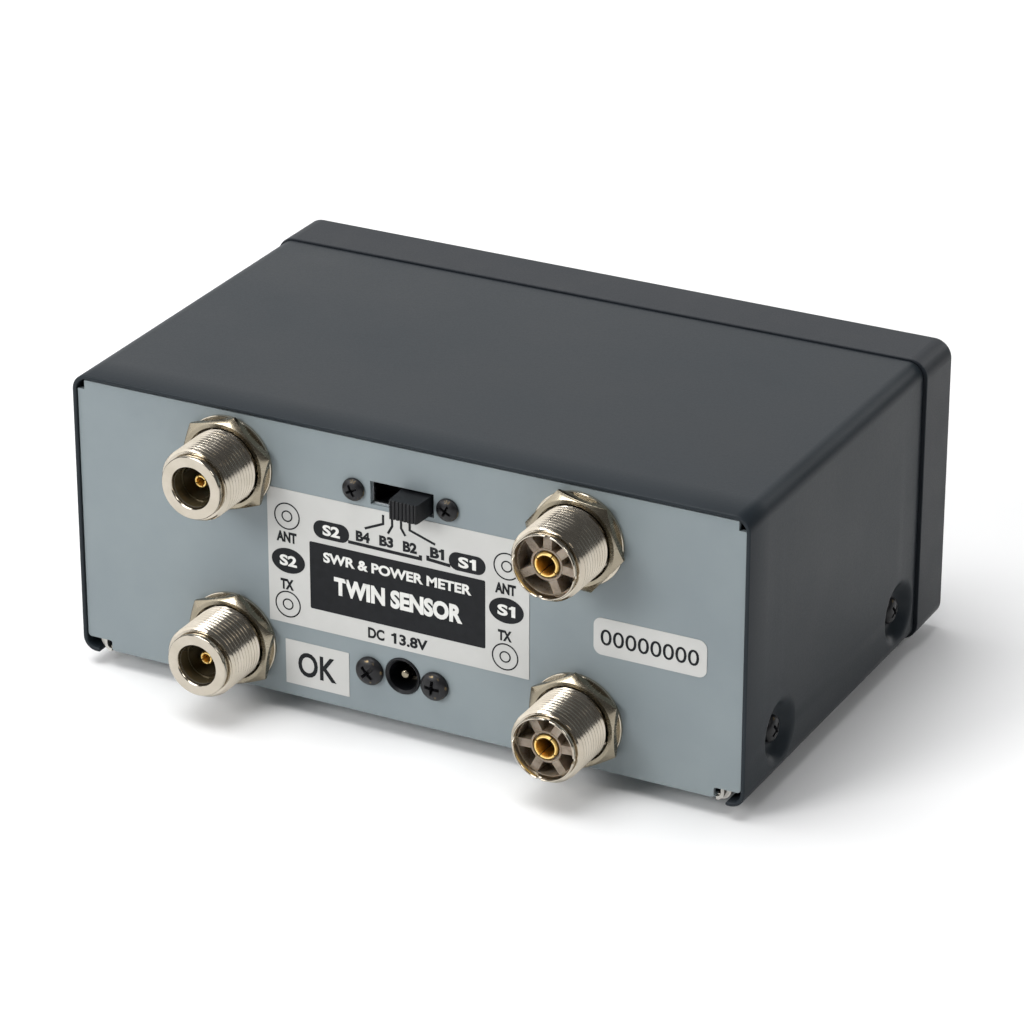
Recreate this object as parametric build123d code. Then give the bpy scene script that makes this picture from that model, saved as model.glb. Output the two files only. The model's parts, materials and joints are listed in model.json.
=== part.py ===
from build123d import *
import math
import os

# SWR and power meter with two sensors. Millimetres, +Z up, meter face towards -Y, connectors towards +Y.
# Shapes are drawn in the case frame: x = 0 on the middle plane, y = 0 on the front bezel's face,
# z = 0 on the underside of the top cover. They are moved to the stored origin when they are written.

# ---- overall sizes -------------------------------------------------------------------------------
bezel_width = 155.0
bezel_height = 64.4
bezel_bottom = -0.75
bezel_depth = 13.6
bezel_corner = 4.0
bezel_wall = 2.5
bezel_draft_deg = 0.25
bezel_front_round = 0.7
bezel_rear_round = 0.2
bezel_boss_r = 2.2
bezel_pilot_r = 0.95
bezel_screw_hole_r = 1.1
bezel_screw_places = [(side * 71.6, z) for side in (-1, 1) for z in (9.0, 54.0)]
skirt_gap = 0.3
skirt_wall = 1.0
skirt_depth = 2.2

cover_width = 153.5
cover_height = 63.3
cover_sheet = 0.9
cover_front = 13.9
cover_rear = 99.1
cover_corner = 3.5
cover_lip_corner = 3.1
cover_lip_end = 72.65
cover_lip_round = 0.4

dish_rear_y = 82.5
dish_front_y = 23.1
dish_z = 9.9
dish_mouth_r = 7.1
dish_floor_r = 4.0
dish_depth = 2.6

chassis_sheet = 1.0
chassis_bottom = 0.45
panel_outer_y = 98.6
panel_half_width = 75.7
panel_top = 62.0
panel_top_notch = (1.6, 2.0)
panel_corner_raise = 3.15
panel_corner_round = 0.8
panel_notch_round = 0.5
panel_foot_chamfer = 0.8
panel_corner_x = 69.9
rear_fold_r = 0.9
flange_outer = 73.25
flange_top = 15.5
flange_front = 17.5
flange_bend_r = 2.2
flange_screw_r = 1.55
tongue_inner_x = 70.3
tongue_outer_x = 72.0
tongue_bend_r = 1.6
tongue_sheet = 0.7
tongue_top = 3.1
upright_half_width = 74.0
upright_top = 60.3
cover_screw_hole_r = 1.7

foot_height = 3.0
foot_radius = 6.0
foot_round = 0.8
foot_places = [(side * 58.0, y) for side in (-1, 1) for y in (21.0, 82.0)]

# ---- connectors and sensors on the rear panel ----------------------------------------------------
sensor_side = {"s1": -1, "s2": 1}
connector_x = 39.7
connector_z = {"ant": 51.0, "tx": 11.2}
thread_r = 7.94
thread_root_r = 7.75
connector_reach = 15.3
connector_flange_r = 9.2
connector_barrel_r = 6.4
connector_barrel_length = 5.0
connector_core_r = 5.0
connector_step = 1.5
contact_tail = 2.0
washer_r = 10.1
washer_thickness = 0.8
nut_flats = 19.0
nut_thickness = 2.2
nut_turn_deg = {"s2_ant": 43.0, "s2_tx": 41.0, "s1_ant": 10.0, "s1_tx": 31.0}
mouth_radius = {"s2": 4.15, "s1": 6.5}
n_mouth_r = 4.35
n_mouth_depth = 3.8
contact_outer_r = {"s2": 1.45, "s1": 2.7}
contact_bore_r = {"s2": 0.8, "s1": 2.0}
contact_recess = {"s2": 3.9, "s1": 1.2}
uhf_pocket_count = 6
uhf_pocket_turn_deg = 30.0
uhf_pocket_half_width = 1.25
uhf_pocket_depth = 3.9
uhf_pocket_inner_r = 3.6
uhf_pocket_rim = 0.8
uhf_insulator_recess = 1.6
uhf_notch_count = 4
uhf_notch_turn_deg = 7.0
uhf_notch_r = 0.6
uhf_notch_depth = 0.8
rim_step = {"s2": 1.15, "s1": 1.0}
rim_length = {"s2": 1.4, "s1": 1.2}
sensor_flange_depth = 3.6
sensor_depth = 19.0
sensor_wall = 1.2
sensor_half_width = 12.5
sensor_box_z = (3.5, 59.0)

# ---- rear switch and supply jack -----------------------------------------------------------------
band_slot_low_x = -7.2
band_slot_high_x = 6.7
band_slot_z = 50.9
band_slot_height = 4.6
band_knob_width = 7.2
band_knob_height = 4.1
band_knob_reach = 5.6
band_travel = 6.3
band_screw_x = 10.7
band_screw_head_r = 2.45
band_screw_hole_r = 1.3
jack_z = 11.3
jack_barrel_r = 4.0
jack_bore_r = 3.25
jack_pin_r = 1.0
jack_screw_x = 7.5
jack_screw_z = 10.9
jack_screw_head_r = 3.1
jack_screw_hole_r = 1.6
jack_proud = 0.4

# ---- stickers ------------------------------------------------------------------------------------
sticker_thickness = 0.12
rear_label_box = (-28.9, 31.0, 17.3, 47.4)
spec_sticker_box = (12.5, 27.4, 3.6, 13.6)
serial_sticker_box = (-67.9, -43.2, 26.7, 34.8)

# ---- meter ---------------------------------------------------------------------------------------
meter_x = -25.0
window_width = 84.0
window_low_z = 10.0
window_high_z = 56.0
meter_case_half_width = 44.0
meter_case_low_z = 3.6
meter_case_high_z = 58.6
meter_case_rear = 34.0
meter_case_gap = 0.3
meter_wall = 1.5
pivot_z = 16.5
pointer_length = 34.0
pointer_y = 9.0
needle_rest_deg = 42.0
core_r = 5.0
coil_inner_r = 5.5
coil_outer_r = 6.2
yoke_inner_r = 7.0
yoke_outer_r = 11.0
zero_screw_z = 12.5
zero_pin_offset = 1.2
hairspring_step = 0.35

# ---- front controls ------------------------------------------------------------------------------
lever_names = {"range": 50.5, "function": 32.5, "power": 14.5}
lever_x = 35.0
lever_rest = {"range": -4.0, "function": 0.0, "power": 0.0}
lever_travel = 4.0
lever_cap_width = 6.2
lever_cap_height = 3.8
cal_x = 60.5
cal_z = 42.5
cal_knob_r = 8.5
cal_knob_front = -12.0
cal_shaft_r = 3.0
bushing_r = 3.5
mode_x = 60.5
mode_z = 14.5
mode_button_r = 3.5
mode_travel = 3.0
board_front = 22.6
board_thickness = 1.6
board_box = (23.0, 69.5, 5.0, 59.5)
board_post_places = [(26.0, 8.5), (26.0, 41.5), (66.0, 24.5), (66.0, 56.5)]
board_hole_r = 1.3
detector_post_places = [(x, y) for x in (-20.0, 18.0) for y in (46.0, 72.0)]
lever_slot_half = (7.4, 2.3)
lever_window_half = (8.0, 2.8)

# ---- running fits --------------------------------------------------------------------------------
running_gap = 0.05
loose_gap = 0.1

# The stored origin is the middle of the whole object's base, between the calibration knob's face
# and the connectors' tips.
middle_y = (cal_knob_front + panel_outer_y + connector_reach) / 2
to_origin = Pos(0, -middle_y, foot_height)

panel_inner_y = panel_outer_y - chassis_sheet
standing = (Align.CENTER, Align.CENTER, Align.MIN)
pieces = {}


# ---- drawing helpers -----------------------------------------------------------------------------
def add(node, solid):
    """Put one more separate solid into a node that holds a group of them."""
    pieces.setdefault(node, []).append(solid)


def block(x0, x1, y0, y1, z0, z1):
    """A rectangular block between two corners."""
    middle = Pos((x0 + x1) / 2, (y0 + y1) / 2, (z0 + z1) / 2)
    return middle * Box(x1 - x0, y1 - y0, z1 - z0)


def rod(radius, y0, y1, x=0.0, z=0.0):
    """A round bar along Y."""
    return Pos(x, (y0 + y1) / 2, z) * Rot(90, 0, 0) * Cylinder(radius, y1 - y0)


def cross_rod(radius, x0, x1, y, z):
    """A round bar along X."""
    return Pos((x0 + x1) / 2, y, z) * Rot(0, 90, 0) * Cylinder(radius, x1 - x0)


def post(radius, z0, z1, x, y):
    """A round bar along Z."""
    return Pos(x, y, (z0 + z1) / 2) * Cylinder(radius, z1 - z0)


def ring(outer, inner, y0, y1, x=0.0, z=0.0):
    """A tube along Y."""
    return rod(outer, y0, y1, x, z) - rod(inner, y0, y1, x, z)


def plate(outline, y0, y1):
    """An outline drawn in X and Z, given thickness from y0 to y1."""
    return extrude(Plane.XZ.offset(-y1) * outline, amount=y1 - y0)


def sheet(box, y0, y1, corner=0.0):
    """A flat rectangle facing Y, given as low x, high x, low z and high z."""
    x0, x1, z0, z1 = box
    shape = RectangleRounded(x1 - x0, z1 - z0, corner) if corner else Rectangle(x1 - x0, z1 - z0)
    return plate(Pos((x0 + x1) / 2, (z0 + z1) / 2) * shape, y0, y1)


def pan_screw(head_r, shank_r, head_height, length):
    """A cross-recess pan-head screw along +Z, its head's seat at z = 0."""
    head = Cylinder(head_r, head_height, align=standing)
    head = fillet(head.edges().filter_by(GeomType.CIRCLE).sort_by(Axis.Z)[-1], head_height * 0.55)
    shank = Cylinder(shank_r, length, align=(Align.CENTER, Align.CENTER, Align.MAX))
    arm = head_r * 0.95
    cross = Box(arm, arm * 0.26, head_height) + Box(arm * 0.26, arm, head_height)
    return head + shank - Pos(0, 0, head_height) * cross


def facing_rear(solid, x, y, z, turn_deg=0.0):
    """Stand a part that was drawn along +Z on a surface that faces +Y."""
    return Pos(x, y, z) * Rot(-90, 0, 0) * Rot(0, 0, turn_deg) * solid


def facing_front(solid, x, y, z):
    """Stand a part that was drawn along +Z on a surface that faces -Y."""
    return Pos(x, y, z) * Rot(90, 0, 0) * solid


def wire(points, bend_r, wire_r):
    """A round wire through the given points, with tangent bends."""
    path = FilletPolyline(*points, radius=bend_r)
    section = Plane(origin=path @ 0, z_dir=path % 0) * Circle(wire_r)
    return sweep(section, path=path)


# ---- case ----------------------------------------------------------------------------------------
def make_front_bezel():
    centre_z = bezel_bottom + bezel_height / 2
    outline = Pos(0, centre_z) * RectangleRounded(bezel_width, bezel_height, bezel_corner)
    shell = extrude(Plane.XZ.offset(-bezel_depth) * outline, amount=bezel_depth, taper=bezel_draft_deg)
    shell = fillet(shell.faces().sort_by(Axis.Y)[0].edges(), bezel_front_round)
    shell = fillet(shell.faces().sort_by(Axis.Y)[-1].edges(), bezel_rear_round)
    cavity = Pos(0, centre_z) * RectangleRounded(
        bezel_width - 2 * bezel_wall, bezel_height - 2 * bezel_wall, bezel_corner - bezel_wall)
    shell -= plate(cavity, bezel_wall, bezel_depth)

    # The skirt slips inside the cover's front edge and makes the dark shadow gap.
    skirt_inset = cover_sheet + skirt_gap
    skirt = plate(cover_outline(skirt_inset) - cover_outline(skirt_inset + skirt_wall),
                  bezel_depth - 2, bezel_depth + skirt_depth)
    skirt &= block(-bezel_width, bezel_width, 0, bezel_depth + skirt_depth, 4.0, cover_height)
    shell += skirt

    window = (meter_x - window_width / 2, meter_x + window_width / 2, window_low_z, window_high_z)
    shell -= sheet(window, 0, bezel_wall, 1.5)
    half_x, half_z = lever_slot_half
    for z in lever_names.values():
        shell -= sheet((lever_x - half_x, lever_x + half_x, z - half_z, z + half_z), 0, bezel_wall)
    shell -= rod(cal_shaft_r + 0.8, 0, bezel_wall, cal_x, cal_z)
    shell -= rod(mode_button_r + 0.3, 0, bezel_wall, mode_x, mode_z)
    for x, z in bezel_screw_places:
        shell += rod(bezel_boss_r, bezel_wall, bezel_depth, x, z)
        shell -= rod(bezel_pilot_r, bezel_wall * 2, bezel_depth, x, z)
    return shell


def cover_outline(inset):
    """The cover's section, shrunk by the same amount on every side."""
    shape = Pos(0, cover_height / 2) * Rectangle(cover_width - 2 * inset, cover_height - 2 * inset)
    top = shape.vertices().filter_by_position(Axis.Y, cover_height / 2, cover_height)
    shape = fillet(top, cover_corner - inset)
    low = shape.vertices().filter_by_position(Axis.Y, 0, cover_height / 2)
    return fillet(low, cover_lip_corner - inset)


def make_top_cover():
    """A folded sheet: top, two sides and the lips that curl under, with four stamped screw dishes."""
    half = cover_width / 2
    outline = cover_outline(0.0)
    inner = cover_outline(cover_sheet)
    mouth = Pos(0, cover_sheet / 2) * Rectangle(2 * cover_lip_end, 4 * cover_sheet)
    section = outline - inner - mouth
    tips = section.vertices().filter_by_position(Axis.Y, -0.01, cover_sheet + 0.01)
    tips = tips.filter_by_position(Axis.X, -cover_lip_end - 0.01, cover_lip_end + 0.01)
    cover = plate(fillet(tips, cover_lip_round), cover_front, cover_rear)
    inside = block(-half, half, cover_front, cover_rear, cover_sheet, cover_height)

    for side in (-1, 1):
        for y in (dish_front_y, dish_rear_y):
            place = Pos(side * half, y, dish_z) * Rot(0, -90 * side, 0)
            bowl = Cone(dish_mouth_r, dish_floor_r, dish_depth, align=standing)
            bulge = Cone(dish_mouth_r + 0.6, dish_floor_r + 0.6, dish_depth + cover_sheet, align=standing)
            hole = Cylinder(cover_screw_hole_r, dish_depth + cover_sheet, align=standing)
            cover += (place * bulge) & inside
            cover -= place * bowl
            cover -= place * hole
    return cover


def folded_sheet(outer_x, thickness, bend_r, y0, y1, top):
    """A sheet lying on the chassis floor and folded up at both sides."""
    height = 2 * top
    centre = Pos(0, chassis_bottom + height / 2)
    outer = centre * RectangleRounded(2 * outer_x, height, bend_r)
    inner = centre * RectangleRounded(
        2 * (outer_x - thickness), height - 2 * thickness, bend_r - thickness)
    sheet_body = plate(outer - inner, y0, y1)
    return sheet_body & block(-outer_x, outer_x, y0, y1, chassis_bottom, top)


def make_pan():
    """The two upturned screw flanges, and the narrow tongues that show at the rear corners."""
    pan_rear = panel_inner_y - 0.1
    pan = folded_sheet(flange_outer, chassis_sheet, flange_bend_r, flange_front, pan_rear, flange_top)
    tongue_y = (panel_inner_y - 0.5, panel_outer_y - 0.3)
    tongues = folded_sheet(tongue_outer_x, tongue_sheet, tongue_bend_r, *tongue_y, tongue_top)
    return pan + tongues - block(-tongue_inner_x, tongue_inner_x, *tongue_y, 0, tongue_top)


def make_rear_panel():
    """The painted upright, raised at its lower corners and notched at its upper ones."""
    notch_x, notch_z = panel_top_notch
    half = panel_half_width
    foot = [(panel_corner_x, chassis_bottom), (panel_corner_x, panel_corner_raise)]
    side_edge = [(half, panel_corner_raise), (half, panel_top - notch_z)]
    top_notch = [(half - notch_x, panel_top - notch_z), (half - notch_x, panel_top)]
    right = foot + side_edge + top_notch
    left = [(-x, z) for x, z in reversed(right)]
    outline = Polygon(*right, *left, align=None)
    for side in (-1, 1):
        corner = outline.vertices().sort_by_distance((side * half, panel_corner_raise))[0]
        outline = fillet(corner, panel_corner_round)
        corner = outline.vertices().sort_by_distance((side * panel_corner_x, panel_corner_raise))[0]
        outline = fillet(corner, panel_notch_round)
        corner = outline.vertices().sort_by_distance((side * panel_corner_x, chassis_bottom))[0]
        outline = chamfer(corner, panel_foot_chamfer)
    return plate(outline, panel_inner_y, panel_outer_y)


def make_chassis():
    """One folded sheet: rear panel, bottom plate, front upright and two screw flanges."""
    top = chassis_bottom + chassis_sheet
    y0, y1 = bezel_depth, bezel_depth + chassis_sheet
    plate_half = panel_corner_x - panel_foot_chamfer
    rear = make_rear_panel()
    bottom = block(-panel_corner_x, panel_corner_x, y0, panel_inner_y, chassis_bottom, top)
    bottom += block(-plate_half, plate_half, panel_inner_y, panel_outer_y, chassis_bottom, top)
    upright = block(-upright_half_width, upright_half_width, y0, y1, panel_corner_raise, upright_top)
    upright += block(-panel_corner_x, panel_corner_x, y0, y1, chassis_bottom, panel_corner_raise)
    body = rear + bottom + upright
    fold = body.edges().filter_by(Axis.X)
    fold = fold.filter_by_position(Axis.Z, chassis_bottom - 0.1, chassis_bottom + 0.1)
    fold = fold.filter_by_position(Axis.Y, panel_outer_y - 0.1, panel_outer_y + 0.1)
    body = fillet(fold, rear_fold_r)
    body += make_pan()

    for side in (-1, 1):
        low, high = sorted((side * (flange_outer - chassis_sheet), side * flange_outer))
        for y in (dish_front_y, dish_rear_y):
            body -= cross_rod(flange_screw_r, low, high, y, dish_z)
        for z in connector_z.values():
            body -= rod(thread_r + loose_gap, panel_inner_y, panel_outer_y, side * connector_x, z)
        body -= rod(band_screw_hole_r, panel_inner_y, panel_outer_y, side * band_screw_x, band_slot_z)
        body -= rod(jack_screw_hole_r, panel_inner_y, panel_outer_y, side * jack_screw_x, jack_screw_z)
    slot_gap = 0.25
    half_height = band_slot_height / 2 + slot_gap
    slot = (band_slot_low_x - slot_gap, band_slot_high_x + slot_gap, band_slot_z - half_height,
            band_slot_z + half_height)
    body -= sheet(slot, panel_inner_y, panel_outer_y)
    body -= rod(jack_barrel_r + loose_gap, panel_inner_y, panel_outer_y, 0, jack_z)

    meter_half = meter_case_half_width + meter_case_gap
    low, high = meter_case_low_z - meter_case_gap, meter_case_high_z + meter_case_gap
    body -= block(meter_x - meter_half, meter_x + meter_half, y0, y1, low, high)
    half_x, half_z = lever_window_half
    for z in lever_names.values():
        body -= block(lever_x - half_x, lever_x + half_x, y0, y1, z - half_z, z + half_z)
    body -= rod(bushing_r + loose_gap, y0, y1, cal_x, cal_z)
    body -= rod(mode_button_r + 0.4, y0, y1, mode_x, mode_z)
    for x, z in bezel_screw_places:
        body -= rod(bezel_screw_hole_r, y0, y1, x, z)
    for x, z in board_post_places:
        body -= rod(board_hole_r, y0, y1, x, z)
    for x, y in detector_post_places:
        body -= post(board_hole_r, chassis_bottom, top, x, y)
    return body


def make_feet():
    foot = Cylinder(foot_radius, foot_height + chassis_bottom, align=standing)
    foot = fillet(foot.edges().filter_by(GeomType.CIRCLE).sort_by(Axis.Z)[0], foot_round)
    return [Pos(x, y, -foot_height) * foot for x, y in foot_places]


def make_cover_screws():
    screw = pan_screw(2.9, 1.5, 1.9, 4.0)
    seat = cover_width / 2 - dish_depth
    return [Pos(side * seat, y, dish_z) * Rot(0, 90 * side, 0) * Rot(0, 0, 20 * side) * screw
            for side in (-1, 1) for y in (dish_front_y, dish_rear_y)]


def make_bezel_screws():
    screw = pan_screw(1.9, 0.95, 1.2, 8.5)
    return [facing_rear(screw, x, bezel_depth + chassis_sheet, z) for x, z in bezel_screw_places]


# ---- connectors ----------------------------------------------------------------------------------
def make_connector(sensor, port):
    """One panel receptacle: shell, insulator, centre contact, washer and nut."""
    name = f"{sensor}_{port}"
    x = sensor_side[sensor] * connector_x
    z = connector_z[port]
    tip = panel_outer_y + connector_reach
    nut_front = panel_outer_y + washer_thickness + nut_thickness
    bore = mouth_radius[sensor]
    contact_r = contact_outer_r[sensor]
    contact_tip = tip - contact_recess[sensor]
    flange_back = panel_inner_y - sensor_flange_depth
    barrel_back = flange_back - connector_barrel_length
    step_y = nut_front + connector_step
    core_r = min(bore, connector_core_r)
    insulator_face = tip - uhf_insulator_recess

    rim_r = thread_r - rim_step[sensor]
    rim_back = tip - rim_length[sensor]
    shell = rod(thread_root_r, panel_inner_y, nut_front, x, z)
    shell += rod(thread_r, nut_front, rim_back, x, z)
    shell += rod(rim_r, rim_back, tip, x, z)
    shell += rod(connector_flange_r, flange_back, panel_inner_y, x, z)
    shell += rod(connector_barrel_r, barrel_back, flange_back, x, z)
    shell -= rod(bore, step_y, tip, x, z)
    shell -= rod(core_r, barrel_back, step_y, x, z)
    if sensor == "s2":
        shell -= rod(n_mouth_r, tip - n_mouth_depth, tip, x, z)
    if sensor == "s1":
        for index in range(uhf_notch_count):
            angle = math.radians(uhf_notch_turn_deg + index * 360 / uhf_notch_count)
            notch_x = x + rim_r * math.cos(angle)
            notch_z = z + rim_r * math.sin(angle)
            shell -= rod(uhf_notch_r, tip - uhf_notch_depth, tip, notch_x, notch_z)

    insulator = rod(core_r, barrel_back, step_y, x, z)
    if sensor == "s1":
        insulator += rod(bore, step_y, insulator_face, x, z)
        pocket = block(-uhf_pocket_half_width, uhf_pocket_half_width, insulator_face - uhf_pocket_depth,
                       insulator_face, uhf_pocket_inner_r, bore - uhf_pocket_rim)
        for index in range(uhf_pocket_count):
            turn = uhf_pocket_turn_deg + index * 360 / uhf_pocket_count
            insulator -= Pos(x, 0, z) * Rot(0, turn, 0) * pocket
    insulator -= rod(contact_r, barrel_back, tip, x, z)

    contact = rod(contact_r, barrel_back - contact_tail, contact_tip, x, z)
    contact -= rod(contact_bore_r[sensor], nut_front + 0.4, contact_tip, x, z)

    washer_face = panel_outer_y + washer_thickness
    washer = ring(washer_r, thread_root_r + loose_gap, panel_outer_y, washer_face, x, z)
    hexagon = RegularPolygon(nut_flats / 2, 6, major_radius=False)
    nut = plate(Pos(x, z) * Rot(0, 0, nut_turn_deg[name]) * hexagon, washer_face, nut_front)
    corner_r = nut_flats / math.sqrt(3)
    trim = Cone(corner_r + nut_thickness * 1.2, nut_flats / 2 + 0.1, nut_thickness, align=standing)
    nut &= facing_rear(trim, x, washer_face, z)
    nut -= rod(thread_root_r + loose_gap, panel_outer_y, nut_front, x, z)

    pieces[f"{name}_shell"] = shell
    add(f"{sensor}_insulators", insulator)
    add(f"{sensor}_contacts", contact)
    add("connector_washers", washer)
    add("connector_nuts", nut)


def make_sensor(sensor):
    """The pick-up unit between one sensor's two receptacles."""
    x = sensor_side[sensor] * connector_x
    rear = panel_inner_y - sensor_flange_depth
    front = rear - sensor_depth
    wall = sensor_wall
    half = sensor_half_width
    low, high = sensor_box_z
    box = block(x - half, x + half, front, rear, low, high)
    box -= block(x - half + wall, x + half - wall, front, rear - wall, low + wall, high - wall)
    for z in connector_z.values():
        box -= rod(6.5, rear - wall, rear, x, z)
    lid = block(x - half, x + half, front - 0.8, front, low, high)
    line_y = rear - 7.0
    line_ends = (connector_z["tx"] - 2.5, connector_z["ant"] + 2.5)
    line = block(x - 1.5, x + 1.5, line_y - 1.2, line_y, *line_ends)
    board = block(x - 10, x + 10, front + 1.5, front + 3.1, low + 3, high - 3)
    for z in (low + 8, high - 8):
        board += rod(1.5, front, front + 1.5, x, z)
    add("sensor_housings", box)
    add("sensor_lids", lid)
    add("sensor_lines", line)
    add("sensor_boards", board)
    if sensor == "s1":
        pieces["s1_toroid"] = Pos(x, line_y - 0.6, 31) * (Cylinder(6.2, 5.0) - Cylinder(3.4, 5.0))


# ---- rear switch and jack ------------------------------------------------------------------------
def make_band_switch():
    slot = (band_slot_low_x, band_slot_high_x, band_slot_z - band_slot_height / 2,
            band_slot_z + band_slot_height / 2)
    frame_y = panel_inner_y - 0.8
    low_z, high_z = band_slot_z - 4.2, band_slot_z + 4.2
    frame = sheet((-14.0, 14.0, low_z, high_z), frame_y, panel_inner_y)
    frame -= sheet(slot, frame_y, panel_inner_y)
    body = sheet((-9.4, 9.4, low_z, high_z), panel_inner_y - 9.0, frame_y)
    wider_slot = (slot[0] - 0.3, slot[1] + 0.3, slot[2] - 0.2, slot[3] + 0.2)
    body -= sheet(wider_slot, panel_inner_y - 6.0, frame_y)
    for side in (-1, 1):
        frame -= rod(1.2, frame_y, panel_inner_y, side * band_screw_x, band_slot_z)

    low_x = band_slot_low_x + 0.2
    face = panel_outer_y + band_knob_reach
    half = band_knob_height / 2
    neck_y = panel_inner_y - 1.4
    knob = block(low_x, low_x + band_knob_width, neck_y, face, band_slot_z - half, band_slot_z + half)
    outer_edges = knob.edges().filter_by(Axis.Z).filter_by_position(Axis.Y, face - 0.1, face + 0.1)
    knob = chamfer(outer_edges, 0.5)
    rib_pitch = (band_knob_width - 1.4) / 6
    for index in range(7):
        knob -= Pos(low_x + 0.7 + index * rib_pitch, face, band_slot_z) * Cylinder(0.26, band_knob_height)
    carriage = block(low_x - 0.1, low_x + band_knob_width - 0.1, panel_inner_y - 5.6, neck_y,
                     band_slot_z - half, band_slot_z + half)
    screw = pan_screw(band_screw_head_r, 1.15, 1.5, 4.0)
    screws = [facing_rear(screw, side * band_screw_x, panel_outer_y, band_slot_z, 28 * side)
              for side in (-1, 1)]
    pieces["band_switch_frame"] = frame
    pieces["band_switch_body"] = body
    pieces["band_knob"] = knob + carriage
    pieces["band_switch_screws"] = screws


def make_supply_jack():
    back = panel_inner_y - 11.0
    body = block(-10.5, 10.5, panel_inner_y - 1.6, panel_inner_y, jack_z - 4.6, jack_z + 4.6)
    body += block(-4.6, 4.6, back, panel_inner_y - 1.6, jack_z - 4.6, jack_z + 4.6)
    rim = panel_outer_y + jack_proud
    barrel = rod(jack_barrel_r, panel_inner_y, rim, 0, jack_z)
    body += fillet(barrel.edges().filter_by(GeomType.CIRCLE).sort_by(Axis.Y)[-1], 0.25)
    funnel_depth = 0.6
    funnel = Cone(jack_bore_r - 0.1, jack_bore_r + 0.5, funnel_depth, align=standing)
    body -= rod(jack_bore_r, back + 1.5, rim, 0, jack_z)
    body -= facing_rear(funnel, 0, rim - funnel_depth, jack_z)
    body -= rod(jack_pin_r, back, back + 1.5, 0, jack_z)
    pin = rod(jack_pin_r, back - 3.0, panel_outer_y - 0.6, 0, jack_z)
    tip_edge = pin.edges().filter_by(GeomType.CIRCLE).sort_by(Axis.Y)[-1]
    pin = fillet(tip_edge, 0.6)
    spring = block(-1.0, 1.0, back - 3.0, back + 6.0, jack_z - jack_bore_r, jack_z - jack_bore_r + 0.4)
    body -= block(-1.0, 1.0, back, back + 6.0, jack_z - jack_bore_r - 0.2, jack_z - jack_bore_r + 0.4)
    for side in (-1, 1):
        body -= rod(1.35, panel_inner_y - 1.6, panel_inner_y, side * jack_screw_x, jack_screw_z)
    screw = pan_screw(jack_screw_head_r, 1.3, 1.9, 4.5)
    pieces["jack_body"] = body
    pieces["jack_contacts"] = [pin, spring]
    screws = [facing_rear(screw, side * jack_screw_x, panel_outer_y, jack_screw_z, 24 * side + 20)
              for side in (-1, 1)]
    pieces["jack_screws"] = screws


def make_stickers():
    face = panel_outer_y
    label = sheet(rear_label_box, face, face + sticker_thickness)
    cutout_r = washer_r + 0.05
    for side in sensor_side.values():
        for z in connector_z.values():
            label -= rod(cutout_r, face, face + sticker_thickness, side * connector_x, z)
    pieces["rear_label"] = label
    add("small_stickers", sheet(spec_sticker_box, face, face + sticker_thickness))
    add("small_stickers", sheet(serial_sticker_box, face, face + sticker_thickness, 1.8))


# ---- meter ---------------------------------------------------------------------------------------
def make_meter_housing():
    low, high = meter_x - meter_case_half_width, meter_x + meter_case_half_width
    case = block(low, high, 4.2, meter_case_rear, meter_case_low_z, meter_case_high_z)
    case -= block(low + meter_wall, high - meter_wall, 4.2, meter_case_rear - meter_wall,
                  meter_case_low_z + meter_wall, meter_case_high_z - meter_wall)
    half = window_width / 2 - 0.15
    pane = (meter_x - half, meter_x + half, window_low_z + 0.15, window_high_z - 0.15)
    window = sheet(pane, 0.5, bezel_wall, 1.4)
    window += block(low, high, bezel_wall, 4.2, meter_case_low_z, meter_case_high_z)
    window -= rod(1.6, 2.6, 4.2, meter_x, zero_screw_z)
    window -= rod(2.5, 0.5, 2.6, meter_x, zero_screw_z)

    inner = meter_case_half_width - meter_wall
    shroud = block(meter_x - inner, meter_x + inner, 4.2, 5.0, meter_case_low_z + meter_wall, 19.0)
    shroud += rod(9.0, 4.2, 5.0, meter_x, pivot_z)
    shroud -= rod(1.6, 4.2, 5.0, meter_x, zero_screw_z)
    dial = block(meter_x - inner, meter_x + inner, 10.6, 11.2, meter_case_low_z + meter_wall,
                 meter_case_high_z - meter_wall)
    dial -= rod(8.5, 10.6, 11.2, meter_x, pivot_z)
    dial -= block(meter_x - 11, meter_x + 11, 10.6, 11.2, meter_case_low_z, pivot_z)
    lamps = [rod(1.5, 14.0, meter_case_rear - meter_wall, meter_x + side * 34, 48) for side in (-1, 1)]
    pieces["meter_case"] = case
    pieces["meter_window"] = window
    pieces["meter_shroud"] = shroud
    pieces["dial_plate"] = dial
    pieces["meter_lamps"] = lamps


def hairspring_coil(x, z):
    """A flat spiral strip round the needle's axis, drawn as half turns of growing radius."""
    y = pointer_y - 0.7
    turns = []
    radius = 1.0
    centre = 0.0
    side = 1
    for _ in range(6):
        turns.append(CenterArc((centre, 0), radius, 90 - 90 * side, 180))
        centre -= side * hairspring_step
        radius += hairspring_step
        side = -side
    strip = trace(turns, 0.14)
    return plate(Pos(x, z) * strip, y, y + 0.3)


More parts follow.
